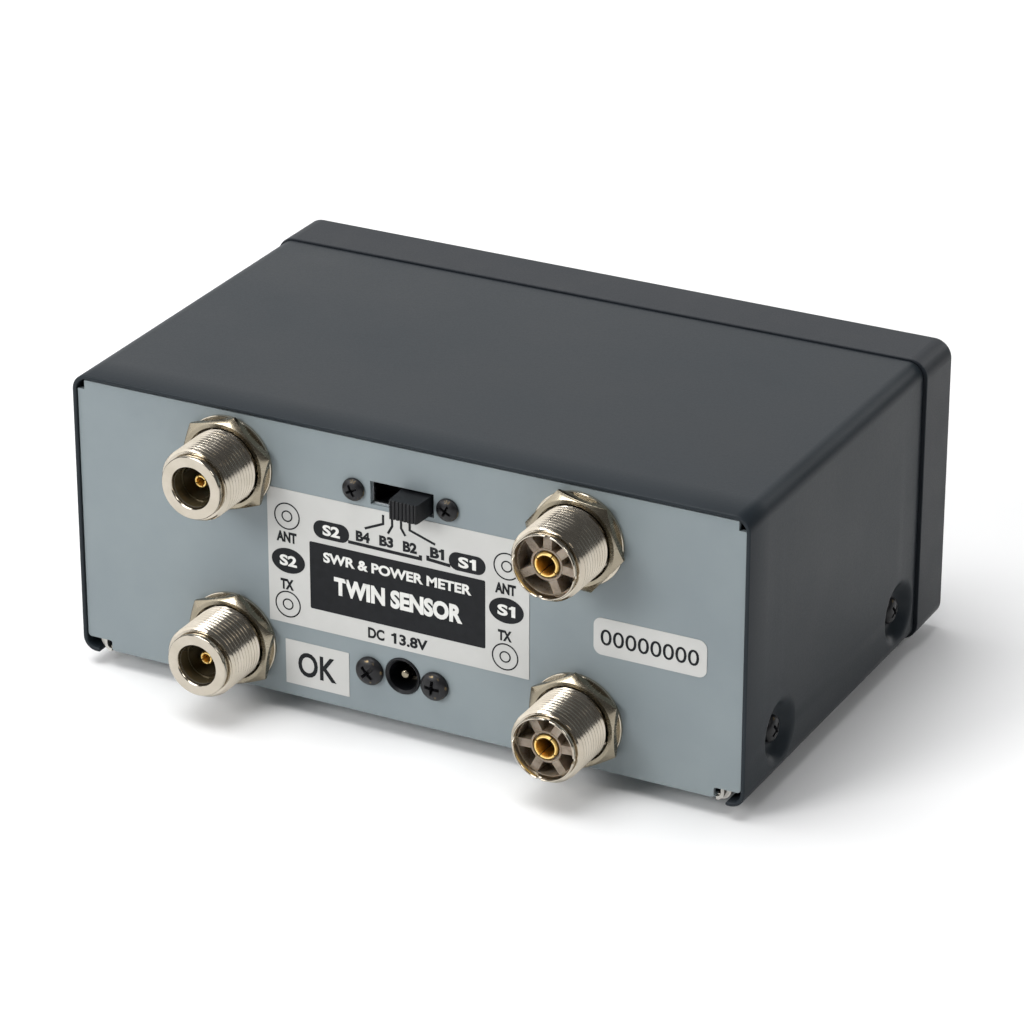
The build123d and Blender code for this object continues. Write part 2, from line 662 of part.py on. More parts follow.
def make_meter_movement():
    x, z = meter_x, pivot_z
    at_pivot = Pos(x, 0, z)
    yoke = ring(yoke_outer_r, yoke_inner_r, 13.6, 27.0, x, z)
    for side in (-1, 1):
        low, high = sorted((side * (core_r + 0.05), side * (yoke_inner_r + 0.3)))
        yoke += at_pivot * block(-1.5, 1.5, 13.6, 27.0, low, high)
        yoke += block(x + side * 9 - 1.4, x + side * 9 + 1.4, 13.6, 27.0, meter_case_low_z + meter_wall, z)
    for side in (-1, 1):
        low, high = sorted((x + side * 1.5, x + side * 8))
        gap = ring(yoke_inner_r, core_r + 0.05, 13.6, 27.0, x, z)
        yoke -= gap & block(low, high, 13.6, 27.0, z - 8, z + 8)
    core = rod(core_r, 13.8, 26.8, x, z) - rod(1.0, 13.8, 26.8, x, z)

    front_bridge = rod(2.6, 7.0, 7.8, x, z) + block(x - 1.8, x + 1.8, 7.0, 7.8, z - 8.5, z)
    front_bridge += block(x - 9.5, x + 9.5, 7.0, 7.8, z - 10.0, z - 7.5)
    for side in (-1, 1):
        front_bridge += rod(1.0, 7.8, 13.6, x + side * 8.4, z - 8.7)
    front_bridge -= rod(1.2, 7.0, 7.8, x, z)
    rear_bridge = block(x - 12, x + 12, 29.4, 30.4, z - 2.5, z + 2.5)
    for side in (-1, 1):
        rear_bridge += rod(1.2, 27.0, 29.4, x + side * 9.4, z)
    rear_bridge -= rod(1.2, 29.4, 30.4, x, z)
    jewels = [rod(1.2, 5.8, 8.2, x, z) - rod(0.5, 7.4, 8.2, x, z),
              rod(1.2, 28.9, 31.0, x, z) - rod(0.5, 28.9, 29.7, x, z)]

    # The moving system is drawn with the pointer straight up, then turned to its rest stop.
    to_rest = at_pivot * Rot(0, -needle_rest_deg, 0) * Pos(-x, 0, -z)
    taper = Polygon((-0.65, 0), (0.65, 0), (0.22, pointer_length), (-0.22, pointer_length), align=None)
    pointer = plate(Pos(x, z) * taper, pointer_y, pointer_y + 0.3)
    pointer += rod(1.5, pointer_y - 0.3, pointer_y + 0.8, x, z)
    pointer += block(x - 0.6, x + 0.6, pointer_y, pointer_y + 0.3, z - 4.6, z)
    pointer -= rod(0.4, pointer_y - 0.3, pointer_y + 0.8, x, z)
    pointer += rod(1.1, pointer_y, pointer_y + 1.1, x, z - 4.6)
    coil = block(x - coil_outer_r, x + coil_outer_r, 12.4, 28.2, z - 0.8, z + 0.8)
    coil -= block(x - coil_inner_r, x + coil_inner_r, 13.1, 27.5, z - 0.8, z + 0.8)
    coil += rod(0.4, 7.5, 12.4, x, z) + rod(0.4, 28.2, 29.6, x, z)
    hairspring = hairspring_coil(x, z)
    pieces["meter_yoke"] = yoke
    pieces["meter_core"] = core
    pieces["meter_bridges"] = [front_bridge, rear_bridge]
    pieces["meter_jewels"] = jewels
    pieces["needle"] = to_rest * pointer
    pieces["moving_coil"] = to_rest * coil
    pieces["hairspring"] = to_rest * hairspring

    slot = block(x - 3, x + 3, 0.2, 0.9, zero_screw_z - 0.3, zero_screw_z + 0.3)
    screw = rod(2.35, 0.2, 2.5, x, zero_screw_z) - slot
    screw += rod(1.5, 2.5, 5.4, x, zero_screw_z)
    screw += rod(0.45, 5.4, 6.7, x, zero_screw_z + zero_pin_offset)
    arm = ring(2.5, 1.25, 6.0, 6.6, x, z) + block(x - 1.3, x + 1.3, 6.0, 6.6, z - 4.6, z - 1.9)
    arm -= block(x - 0.75, x + 0.75, 6.0, 6.6, z - 4.6, z - 1.9)
    arm += block(x - 0.5, x + 0.5, 6.0, 6.6, z + 2.2, z + 4.6)
    arm += block(x - 0.5, x + 0.5, 6.6, pointer_y - 0.3, z + 3.9, z + 4.6)
    pieces["zero_screw"] = screw
    pieces["zero_arm"] = arm


# ---- front controls ------------------------------------------------------------------------------
def make_lever_switch(name):
    z = lever_names[name]
    body = block(lever_x - 9.5, lever_x + 9.5, 16.2, board_front, z - 3.4, z + 3.4)
    body -= block(lever_x - 5.7, lever_x + 5.7, 16.2, 20.2, z - 1.4, z + 1.4)
    x = lever_x + lever_rest[name]
    cap = block(x - lever_cap_width / 2, x + lever_cap_width / 2, -4.2, 4.0, z - lever_cap_height / 2,
                z + lever_cap_height / 2)
    front_edges = cap.edges().filter_by_position(Axis.Y, -4.3, -4.1)
    cap = fillet(front_edges, 0.5)
    cap -= Pos(x, -4.5, z) * Cylinder(0.9, lever_cap_height)
    stem = block(x - 1.2, x + 1.2, 4.0, 19.8, z - 1.1, z + 1.1)
    add("switch_bodies", body)
    pieces[f"{name}_lever"] = cap + stem


def make_calibration_control():
    body = rod(8.0, 14.8, board_front, cal_x, cal_z)
    body -= rod(cal_shaft_r + running_gap, 14.8, 20.5, cal_x, cal_z)
    bushing = ring(bushing_r, cal_shaft_r + running_gap, 8.0, 14.8, cal_x, cal_z)
    hexagon = Pos(cal_x, cal_z) * RegularPolygon(5.0, 6, major_radius=False)
    nut = plate(hexagon, 11.4, bezel_depth) - rod(bushing_r, 11.4, bezel_depth, cal_x, cal_z)
    shaft = rod(cal_shaft_r, -9.5, 20.4, cal_x, cal_z)
    knob = rod(cal_knob_r, cal_knob_front, -0.8, cal_x, cal_z)
    knob = fillet(knob.edges().filter_by(GeomType.CIRCLE).sort_by(Axis.Y)[0], 1.0)
    knob -= rod(cal_shaft_r, -9.5, -0.8, cal_x, cal_z)
    pieces["cal_pot_body"] = body + bushing
    pieces["cal_pot_nut"] = nut
    pieces["cal_shaft"] = shaft
    pieces["cal_knob"] = knob


def make_mode_button():
    button = rod(mode_button_r, -3.5, 7.0, mode_x, mode_z)
    button = fillet(button.edges().filter_by(GeomType.CIRCLE).sort_by(Axis.Y)[0], 0.7)
    button += block(mode_x - 1.5, mode_x + 1.5, 7.0, 17.5, mode_z - 1.5, mode_z + 1.5)
    body = block(mode_x - 5, mode_x + 5, 15.4, board_front, mode_z - 5, mode_z + 5)
    body -= block(mode_x - 1.6, mode_x + 1.6, 15.4, 21.0, mode_z - 1.6, mode_z + 1.6)
    spring = ring(3.2, 2.4, 7.05, 15.4, mode_x, mode_z)
    pieces["mode_button"] = button
    add("switch_bodies", body)
    pieces["mode_spring"] = spring


def make_control_board():
    x0, x1, z0, z1 = board_box
    board_back = board_front + board_thickness
    board = block(x0, x1, board_front, board_back, z0, z1)
    screw = pan_screw(2.4, 1.2, 1.6, board_back - bezel_depth)
    for x, z in board_post_places:
        board -= rod(board_hole_r, board_front, board_back, x, z)
        add("board_spacers", ring(2.4, 1.25, bezel_depth + chassis_sheet, board_front, x, z))
        add("board_screws", facing_rear(screw, x, board_back, z))
    for z in (10.0, 24.0, 38.0):
        add("board_components", block(42, 51, board_back, board_back + 1.8, z, z + 6))
    pieces["control_board"] = board


def make_detector_board():
    """The horizontal board that turns the sensors' samples into meter readings."""
    floor = chassis_bottom + chassis_sheet
    board = block(-24, 22, 42, 76, 8.0, 9.6)
    screw = pan_screw(2.4, 1.2, 1.6, 9.6 - chassis_bottom)
    for x, y in detector_post_places:
        board -= post(board_hole_r, 8.0, 9.6, x, y)
        add("board_spacers", post(2.4, floor, 8.0, x, y) - post(1.25, floor, 8.0, x, y))
        add("board_screws", Pos(x, y, 9.6) * screw)
    for x in (-16, -7, 2):
        add("board_components", block(x, x + 6.5, 62, 68.5, 9.6, 15.0))
    for x in (-12, -4, 4, 12):
        add("board_components", post(2.5, 9.6, 18.0, x, 50))
    pieces["detector_board"] = board


def make_wires():
    top = 9.6
    supply_route = [(0, 83.6, jack_z), (0, 79, jack_z), (-4, 74, 17), (-8, 72, 17), (-8, 72, top)]
    meter_route = [(0, meter_case_rear, 25), (0, 40, 25), (2, 46, 22), (8, 46, 18), (8, 46, top)]
    supply = wire(supply_route, 1.2, 0.7)
    meter = wire(meter_route, 1.5, 0.6)
    pieces["wires"] = [supply, meter]


# ---- assembly ------------------------------------------------------------------------------------
pieces["front_bezel"] = make_front_bezel()
pieces["top_cover"] = make_top_cover()
pieces["chassis"] = make_chassis()
pieces["feet"] = make_feet()
pieces["cover_screws"] = make_cover_screws()
pieces["bezel_screws"] = make_bezel_screws()
for sensor_name in sensor_side:
    for port_name in connector_z:
        make_connector(sensor_name, port_name)
    make_sensor(sensor_name)
make_band_switch()
make_supply_jack()
make_stickers()
make_meter_housing()
make_meter_movement()
for lever_name in lever_names:
    make_lever_switch(lever_name)
make_calibration_control()
make_mode_button()
make_control_board()
make_detector_board()
make_wires()

os.makedirs("parts", exist_ok=True)
for name, shape in pieces.items():
    solids = shape if isinstance(shape, list) else [shape]
    if len(solids) > 1:
        shape = Compound(children=[to_origin * solid for solid in solids])
    else:
        shape = to_origin * solids[0]
    shape.label = name
    export_step(shape, f"parts/{name}.step")
print(len(pieces), "nodes")
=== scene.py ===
import json
import math

import bmesh
import bpy
from mathutils import Matrix, Vector


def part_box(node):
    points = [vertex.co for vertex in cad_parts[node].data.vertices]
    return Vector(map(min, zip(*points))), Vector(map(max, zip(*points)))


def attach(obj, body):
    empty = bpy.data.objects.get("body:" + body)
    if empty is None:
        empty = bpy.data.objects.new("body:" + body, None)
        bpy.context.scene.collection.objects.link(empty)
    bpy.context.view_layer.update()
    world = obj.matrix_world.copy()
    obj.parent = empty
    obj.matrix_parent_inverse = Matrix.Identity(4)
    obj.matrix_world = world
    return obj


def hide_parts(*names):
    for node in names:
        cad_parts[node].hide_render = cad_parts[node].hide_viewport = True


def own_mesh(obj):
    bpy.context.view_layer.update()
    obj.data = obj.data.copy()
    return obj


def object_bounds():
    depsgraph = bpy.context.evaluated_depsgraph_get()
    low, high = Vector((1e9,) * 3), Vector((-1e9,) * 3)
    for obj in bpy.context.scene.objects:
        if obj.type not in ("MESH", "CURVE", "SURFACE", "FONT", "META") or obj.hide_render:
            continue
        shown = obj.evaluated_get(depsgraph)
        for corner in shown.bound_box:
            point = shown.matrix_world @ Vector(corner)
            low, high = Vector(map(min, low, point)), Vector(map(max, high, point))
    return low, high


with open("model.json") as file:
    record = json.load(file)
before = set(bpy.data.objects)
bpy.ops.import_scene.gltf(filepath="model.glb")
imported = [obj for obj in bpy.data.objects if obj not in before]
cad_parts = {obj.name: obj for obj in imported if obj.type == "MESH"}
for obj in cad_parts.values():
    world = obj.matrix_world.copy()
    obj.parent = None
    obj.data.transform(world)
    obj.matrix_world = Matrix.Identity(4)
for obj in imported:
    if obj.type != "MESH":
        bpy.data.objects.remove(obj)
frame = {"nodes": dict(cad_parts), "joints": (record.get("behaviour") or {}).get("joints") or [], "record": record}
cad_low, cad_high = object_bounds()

# SWR and power meter. Shapes are drawn in millimetres in a frame of their own and set in place in metres.
MM = 0.001
record = frame["record"]
nodes = frame["nodes"]
scene = bpy.context.scene


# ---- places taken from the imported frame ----
def box_mm(node):
    low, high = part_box(node)
    return low / MM, high / MM


def mount_mm(name):
    """A mount's place in the record, in millimetres."""
    return Vector(next(m for m in record["mounts"] if m["name"] == name)["pos_m"]) / MM


cover_low, cover_high = box_mm("top_cover")
base_z = cover_low.z
panel_y = box_mm("chassis")[1].y
bezel_front = box_mm("front_bezel")[0].y
dial_front = box_mm("dial_plate")[0].y
needle_joint = next(j for j in frame["joints"] if j["name"] == "needle_swing")
pivot = Vector(needle_joint["pos_m"]) / MM
connectors = {port: mount_mm(f"{port}_thread") for port in ("s1_ant", "s1_tx", "s2_ant", "s2_tx")}

# Local axes for pieces that face the rear (+Y), the front (-Y), the right (+X), the left (-X) and down.
FACING = {
    "rear": Matrix(((-1, 0, 0), (0, 0, 1), (0, 1, 0))),
    "front": Matrix(((1, 0, 0), (0, 0, -1), (0, 1, 0))),
    "right": Matrix(((0, 0, 1), (1, 0, 0), (0, 1, 0))),
    "left": Matrix(((0, 0, -1), (-1, 0, 0), (0, 1, 0))),
    "down": Matrix(((1, 0, 0), (0, -1, 0), (0, 0, -1))),
    "up": Matrix.Identity(3),
}


def at(x, y, z, facing="up"):
    """A place in millimetres, for a piece whose local Z looks the given way."""
    return Matrix.Translation(Vector((x, y, z)) * MM) @ FACING[facing].to_4x4()


def port_place(port):
    """A receptacle's axis where it leaves the rear panel."""
    return at(connectors[port].x, panel_y, connectors[port].z, "rear")


def front_middle(node):
    """A front control's middle, as x and z."""
    low, high = box_mm(node)
    return (low.x + high.x) / 2, (low.z + high.z) / 2


# Sizes that the materials and the shapes both follow.
CONNECTOR_REACH = 15.3
N_MOUTH = 4.35
UHF_MOUTH = 6.5
TONGUE_INNER = 70.2
TONGUE_TOP = 3.15
INK = 0.03


# ---- materials ----
def srgb(red, green, blue):
    """A colour as seen on screen, from 0 to 255, turned into a linear one."""
    parts = [c / 255 for c in (red, green, blue)]
    return tuple(c / 12.92 if c <= 0.04045 else ((c + 0.055) / 1.055) ** 2.4 for c in parts) + (1.0,)


class Finish:
    """A procedural material on one Principled shader, in object coordinates."""

    def __init__(self, name, **sockets):
        self.material = bpy.data.materials.new(name)
        self.material.use_nodes = True
        self.tree = self.material.node_tree
        self.shader = self.tree.nodes["Principled BSDF"]
        self.place = self.add("TexCoord").outputs["Object"]
        for socket, value in sockets.items():
            self.shader.inputs[socket.replace("_", " ")].default_value = value

    def add(self, kind, inputs=None, **settings):
        made = self.tree.nodes.new("ShaderNode" + kind)
        for key, value in settings.items():
            setattr(made, key, value)
        for key, value in (inputs or {}).items():
            if isinstance(value, bpy.types.NodeSocket):
                self.tree.links.new(value, made.inputs[key])
            else:
                made.inputs[key].default_value = value
        return made

    def noise(self, scale, detail=3.0, stretch=(1, 1, 1), distortion=0.0):
        """Noise whose features are about 1 / scale metres across."""
        spread = self.add("Mapping", {"Vector": self.place, "Scale": stretch}).outputs["Vector"]
        inputs = {"Vector": spread, "Scale": scale, "Detail": detail, "Distortion": distortion}
        return self.add("TexNoise", inputs).outputs["Fac"]

    def steps(self, value, low, high, to_low=0.0, to_high=1.0):
        """The value's range from low to high, spread over another range."""
        inputs = {"Value": value, "From Min": low, "From Max": high, "To Min": to_low, "To Max": to_high}
        return self.add("MapRange", inputs).outputs["Result"]

    def mix(self, factor, first, second):
        made = self.add("Mix", data_type="RGBA")
        for socket, value in ((0, factor), (6, first), (7, second)):
            if isinstance(value, bpy.types.NodeSocket):
                self.tree.links.new(value, made.inputs[socket])
            else:
                made.inputs[socket].default_value = value
        return made.outputs[2]

    def calc(self, operation, first, second):
        return self.add("Math", {0: first, 1: second}, operation=operation).outputs["Value"]

    def colour(self, value):
        self.tree.links.new(value, self.shader.inputs["Base Color"])
        return self

    def rough(self, value, low, high, to_low, to_high):
        self.tree.links.new(self.steps(value, low, high, to_low, to_high), self.shader.inputs["Roughness"])
        return self

    def bump(self, height, depth_mm, strength=1.0):
        inputs = {"Height": height, "Distance": depth_mm * MM, "Strength": strength}
        before = self.shader.inputs["Normal"]
        if before.is_linked:
            inputs["Normal"] = before.links[0].from_socket
        self.tree.links.new(self.add("Bump", inputs).outputs["Normal"], before)
        return self


def mottled(name, light, dark, rough, patch=90.0, grain=2600.0, depth=0.012, **sockets):
    """Two close tones in soft patches, a fine grain in relief, and gloss that varies with both."""
    made = Finish(name, **sockets)
    patches = made.noise(patch, 4.0)
    fine = made.noise(grain, 2.0)
    made.colour(made.mix(made.steps(patches, 0.35, 0.65), srgb(*dark), srgb(*light)))
    made.rough(made.calc("ADD", patches, fine), 0.7, 1.3, rough - 0.06, rough + 0.06)
    made.bump(fine, depth)
    return made


def powder_coat(name, light, dark, rough, gloss):
    """Stoved powder paint: a fine orange-peel skin over a slow drift of tone."""
    made = mottled(name, light, dark, rough, 40.0, 4200.0, 0.006, Specular_IOR_Level=gloss)
    made.bump(made.noise(1100.0, 2.0), 0.012)
    return made


def panel_finish():
    """The rear panel's paint, with bare cut steel on the folded tongues at its two lower corners."""
    made = powder_coat("PanelPaint", (134, 144, 147), (127, 137, 141), 0.44, 0.4)
    spot = made.add("SeparateXYZ", {"Vector": made.place})
    outside = made.calc("GREATER_THAN", made.calc("ABSOLUTE", spot.outputs["X"], 0.0), TONGUE_INNER * MM)
    low = made.calc("LESS_THAN", spot.outputs["Z"], (base_z + TONGUE_TOP) * MM)
    bare = made.calc("MULTIPLY", outside, low)
    steel = made.mix(made.steps(made.noise(500.0, 4.0), 0.3, 0.7), srgb(176, 174, 168), srgb(206, 204, 198))
    paint = made.shader.inputs["Base Color"].links[0].from_socket
    made.colour(made.mix(bare, paint, steel))
    made.tree.links.new(bare, made.shader.inputs["Metallic"])
    return made


def bore_shadow(made, radius_mm, depth_mm, tone):
    """Painted shade on a mouth's wall below its rim: a darker, duller tone with less metal."""
    spot = made.add("SeparateXYZ", {"Vector": made.place})
    flat = made.add("CombineXYZ", {"X": spot.outputs["X"], "Y": spot.outputs["Y"]})
    reach = made.add("VectorMath", {0: flat.outputs[0]}, operation="LENGTH").outputs["Value"]
    inside = made.calc("LESS_THAN", reach, radius_mm * MM)
    below = made.steps(spot.outputs["Z"], (CONNECTOR_REACH - 0.5) * MM, (CONNECTOR_REACH - depth_mm) * MM)
    painted_shade = made.calc("MULTIPLY", inside, below)
    plated = made.shader.inputs["Base Color"].links[0].from_socket
    made.colour(made.mix(painted_shade, plated, tone))
    made.tree.links.new(made.steps(painted_shade, 0.0, 1.0, 1.0, 0.35), made.shader.inputs["Metallic"])


def bright_metal(name, light, dark, rough, ring_mm=0.0, scratch_mm=0.003):
    """Plated metal with faint clouding and hairline scratches, and rings round local Z if it was turned."""
    made = Finish(name, Metallic=1.0)
    cloud = made.noise(240.0, 4.0)
    scratch = made.noise(900.0, 2.0, (1, 9, 1), 0.4)
    made.colour(made.mix(made.steps(cloud, 0.3, 0.7), srgb(*dark), srgb(*light)))
    made.rough(made.calc("ADD", cloud, scratch), 0.7, 1.3, rough - 0.04, rough + 0.08)
    made.bump(scratch, scratch_mm, 0.6)
    if ring_mm:
        scale = math.tau / (20 * ring_mm * MM)
        inputs = {"Vector": made.place, "Scale": scale, "Distortion": 0.6, "Detail": 2.0}
        rings = made.add("TexWave", inputs, wave_type="RINGS", rings_direction="Z")
        made.bump(rings.outputs["Fac"], 0.004, 0.35)
    return made


def dark_screw_finish():
    """Black oxide, thin on the high spots so that brassy steel shows there."""
    made = Finish("BlackOxide", Specular_IOR_Level=0.3)
    cloud = made.noise(420.0, 4.0)
    wear = made.steps(made.noise(620.0, 5.0), 0.63, 0.72)
    black = made.mix(made.steps(cloud, 0.35, 0.65), srgb(18, 18, 20), srgb(32, 32, 34))
    made.colour(made.mix(wear, black, srgb(128, 112, 84)))
    made.tree.links.new(wear, made.shader.inputs["Metallic"])
    made.rough(cloud, 0.3, 0.7, 0.26, 0.42)
    made.bump(made.noise(3000.0, 2.0), 0.006)
    return made


def printed_board_finish():
    """Green solder mask over copper tracks that stand in slight relief."""
    made = Finish("CircuitBoard", Coat_Weight=0.4, Coat_Roughness=0.2)
    inputs = {"Vector": made.place, "Scale": 260.0, "Randomness": 0.35}
    cells = made.add("TexVoronoi", inputs, feature="DISTANCE_TO_EDGE", distance="CHEBYCHEV")
    track = made.steps(cells.outputs["Distance"], 0.10, 0.13)
    made.colour(made.mix(track, srgb(38, 98, 58), srgb(20, 66, 40)))
    made.rough(made.noise(800.0), 0.3, 0.7, 0.30, 0.42)
    made.bump(track, 0.03)
    return made


def clear_finish(name, tint, haze):
    """Thin clear plastic or glass: gloss that grows towards the edges, and faint hairlines."""
    made = Finish(name)
    tree = made.tree
    through = made.add("BsdfTransparent", {"Color": tint})
    scratch = made.noise(500.0, 3.0, (1, 1, 7), 0.5)
    gloss = made.add("BsdfGlossy", {"Roughness": made.steps(scratch, 0.4, 0.7, haze, haze + 0.08)})
    edge = made.add("Fresnel", {"IOR": 1.49})
    both = made.add("MixShader", {0: edge.outputs[0], 1: through.outputs[0], 2: gloss.outputs[0]})
    tree.links.new(both.outputs[0], tree.nodes["Material Output"].inputs["Surface"])
    return made


def brown_insulator_finish():
    """Brown moulded resin, a little see-through, with flow marks."""
    made = mottled("BrownResin", (146, 133, 118), (118, 104, 88), 0.30, 500.0, 3500.0, 0.01,
                   Subsurface_Weight=0.25, Subsurface_Scale=0.0015, Specular_IOR_Level=0.5)
    made.shader.inputs["Subsurface Radius"].default_value = (1.0, 0.55, 0.25)
    return made


finishes = {
    "case_paint": powder_coat("CasePaint", (38, 44, 49), (32, 38, 43), 0.40, 0.17),
    "panel_paint": panel_finish(),
    "bezel_plastic": mottled("BezelPlastic", (38, 42, 47), (32, 36, 41), 0.44, grain=3200.0, depth=0.014,
                             Specular_IOR_Level=0.17),
    "black_plastic": mottled("BlackPlastic", (22, 23, 26), (14, 15, 18), 0.40, patch=260.0, depth=0.014,
                             Specular_IOR_Level=0.3),
    "knob_plastic": mottled("KnobPlastic", (34, 35, 37), (26, 27, 29), 0.36, 220.0),
    "clear_plastic": clear_finish("ClearPlastic", (0.97, 0.98, 0.985, 1.0), 0.03),
    "dial_print": mottled("DialCard", (245, 242, 231), (239, 235, 222), 0.62, 60.0, depth=0.01),
    "label_film": mottled("LabelFilm", (198, 198, 195), (191, 191, 188), 0.50, patch=70.0, grain=1800.0,
                          depth=0.008, Specular_IOR_Level=0.4),
    # Nickel is a darker copy of the plating for the nuts: painted shade in place of the dimmer floor their faces
    # reflect.
    "nickel": bright_metal("Nickel", (158, 150, 133), (140, 131, 113), 0.22),
    "gold": bright_metal("Gold", (250, 222, 150), (232, 192, 108), 0.30),
    "brown_insulator": brown_insulator_finish(),
    "white_insulator": mottled("WhiteResin", (226, 220, 206), (214, 206, 190), 0.42, patch=400.0,
                               Subsurface_Weight=0.2, Subsurface_Scale=0.001),
    "black_screw": dark_screw_finish(),
    "bare_steel": bright_metal("ZincSteel", (206, 208, 210), (176, 178, 180), 0.28),
    "magnet": mottled("Ferrite", (74, 75, 78), (58, 59, 62), 0.6, 700.0, depth=0.03, Metallic=0.6),
    "copper": bright_metal("Copper", (226, 156, 112), (196, 120, 78), 0.25),
    "aluminium": bright_metal("Aluminium", (218, 220, 222), (198, 200, 203), 0.30),
    "circuit_board": printed_board_finish(),
    "component_black": mottled("Component", (36, 36, 38), (26, 26, 28), 0.55, 500.0, depth=0.02),
    "lamp_glass": clear_finish("LampGlass", (0.97, 0.93, 0.80, 1.0), 0.04),
    "rubber": mottled("Rubber", (34, 34, 35), (25, 25, 26), 0.74, 300.0, 2200.0, 0.03),
    "wire_insulation": mottled("WireSleeve", (150, 34, 28), (128, 26, 22), 0.42, patch=400.0),
    "needle_paint": mottled("NeedlePaint", (188, 34, 26), (168, 26, 20), 0.38, 400.0, depth=0.006),
}
turned_nickel = bright_metal("TurnedNickel", (203, 195, 180), (187, 178, 161), 0.14, 0.32)
shell_nickel = bright_metal("ShellNickel", (196, 188, 174), (184, 175, 160), 0.13, 0.0, 0.0008)
mouth_nickel = bright_metal("MouthNickel", (194, 186, 173), (182, 174, 159), 0.13, 0.0, 0.0008)
# Painted shade down the N mouths' bore walls, below the rim.
bore_shadow(mouth_nickel, N_MOUTH + 0.1, 1.2, srgb(92, 82, 60))
black_ink = mottled("BlackInk", (24, 26, 29), (18, 20, 23), 0.46, 500.0, depth=0.006,
                    Specular_IOR_Level=0.18)
white_ink = mottled("WhiteInk", (226, 226, 222), (216, 216, 212), 0.46, patch=500.0, depth=0.006)
red_ink = mottled("RedInk", (176, 40, 34), (160, 32, 28), 0.46, patch=500.0, depth=0.006)

for part in record["subparts"]:
    mesh = nodes[part["node"]].data
    mesh.materials.clear()
    mesh.materials.append(finishes[part["material_slot"]].material)


# ---- mesh helpers ----
def skin(bm, rows, wrap_columns=True, wrap_rows=False):
    """Join rows of points into quads, round the columns and round the rows if asked."""
    grid = [[bm.verts.new(point) for point in row] for row in rows]
    row_count, column_count = len(grid), len(grid[0])
    for i in range(row_count if wrap_rows else row_count - 1):
        here, above = grid[i], grid[(i + 1) % row_count]
        for j in range(column_count if wrap_columns else column_count - 1):
            k = (j + 1) % column_count
            bm.faces.new((here[j], here[k], above[k], above[j]))
    return grid


def lathe(bm, section, segments, closed=False, start=0.0, sweep=360.0):
    """Turn (radius, height) pairs round local Z. section may be a function of the angle in degrees."""
    whole = sweep >= 360.0
    angles = [start + sweep * j / segments for j in range(segments if whole else segments + 1)]
    columns = []
    for angle in angles:
        pairs = section(angle) if callable(section) else section
        t = math.radians(angle)
        columns.append([(r * math.cos(t), r * math.sin(t), z) for r, z in pairs])
    rows = [list(row) for row in zip(*columns)]
    grid = skin(bm, rows, wrap_columns=whole, wrap_rows=closed)
    if not whole:
        bm.faces.new([row[0] for row in grid])
        bm.faces.new([row[-1] for row in reversed(grid)])


def prism(bm, outline, low, high):
    """Give a flat outline thickness between two heights."""
    bottom, top = skin(bm, [[(x, y, level) for x, y in outline] for level in (low, high)])
    bm.faces.new(bottom[::-1])
    bm.faces.new(top)


def as_mesh(bm, name):
    """Mesh data made from a bmesh, which is let go."""
    mesh = bpy.data.meshes.new(name)
    bm.to_mesh(mesh)
    bm.free()
    return mesh


def add_object(name, data):
    made = bpy.data.objects.new(name, data)
    scene.collection.objects.link(made)
    return made


def join(whole, part):
    """Add one bmesh to another, and let the added one go."""
    mesh = as_mesh(part, "Part")
    whole.from_mesh(mesh)
    bpy.data.meshes.remove(mesh)


def cut_away(bm, cutter):
    """One mesh less another."""
    holders = []
    for shape in (bm, cutter):
        bmesh.ops.remove_doubles(shape, verts=shape.verts, dist=0.0005)
        bmesh.ops.recalc_face_normals(shape, faces=shape.faces)
        holders.append(add_object("Shape", as_mesh(shape, "Shape")))
    cut = holders[0].modifiers.new("Cut", "BOOLEAN")
    cut.object = holders[1]
    cut.operation = "DIFFERENCE"
    cut.solver = "EXACT"
    bpy.context.view_layer.update()
    graph = bpy.context.evaluated_depsgraph_get()
    result = bpy.data.meshes.new_from_object(holders[0].evaluated_get(graph))
    made = bmesh.new()
    made.from_mesh(result)
    for holder in holders:
        data = holder.data
        bpy.data.objects.remove(holder)
        bpy.data.meshes.remove(data)
    bpy.data.meshes.remove(result)
    return made


def spaced(low, high, steps):
    return [low + (high - low) * i / steps for i in range(steps + 1)]


def arc(cx, cy, radius, start, end, steps):
    """Points on an arc, both ends included, with angles in degrees."""
    turns = [math.radians(start + (end - start) * i / steps) for i in range(steps + 1)]
    return [(cx + radius * math.cos(t), cy + radius * math.sin(t)) for t in turns]


def rounded(width, height, radius, steps, cx=0.0, cy=0.0):
    """The outline of a rectangle with rounded corners."""
    x, y = width / 2 - radius, height / 2 - radius
    corners = ((x, y, 0), (-x, y, 90), (-x, -y, 180), (x, -y, 270))
    return [p for px, py, turn in corners for p in arc(cx + px, cy + py, radius, turn, turn + 90, steps)]


def ellipse(cx, cy, half_width, half_height, steps=72):
    turns = [math.tau * i / steps for i in range(steps)]
    return [(cx + half_width * math.cos(t), cy + half_height * math.sin(t)) for t in turns]


def stroke(points, width):
    """The outline of a line of even width, square at its ends and mitred at its corners."""
    points = [Vector(p) for p in points]
    left, right = [], []
    for i, point in enumerate(points):
        before = (point - points[i - 1]).normalized() if i else None
        after = (points[i + 1] - point).normalized() if i + 1 < len(points) else None
        heading = (before or after) + (after or before)
        heading.normalize()
        across = Vector((-heading.y, heading.x))
        side = Vector((-(after or before).y, (after or before).x))
        across *= width / 2 / max(0.4, across.dot(side))
        left.append(tuple(point + across))
        right.append(tuple(point - across))
    return right + left[::-1]


def letter_mesh(words, bold):
    """Letters as a flat mesh in the built-in face's own units."""
    data = bpy.data.curves.new("Letters", "FONT")
    data.body = words
    data.offset = bold
    data.extrude = 0.5
    data.resolution_u = 4
    holder = bpy.data.objects.new("Letters", data)
    mesh = bpy.data.meshes.new_from_object(holder)
    bpy.data.objects.remove(holder)
    bpy.data.curves.remove(data)
    return mesh


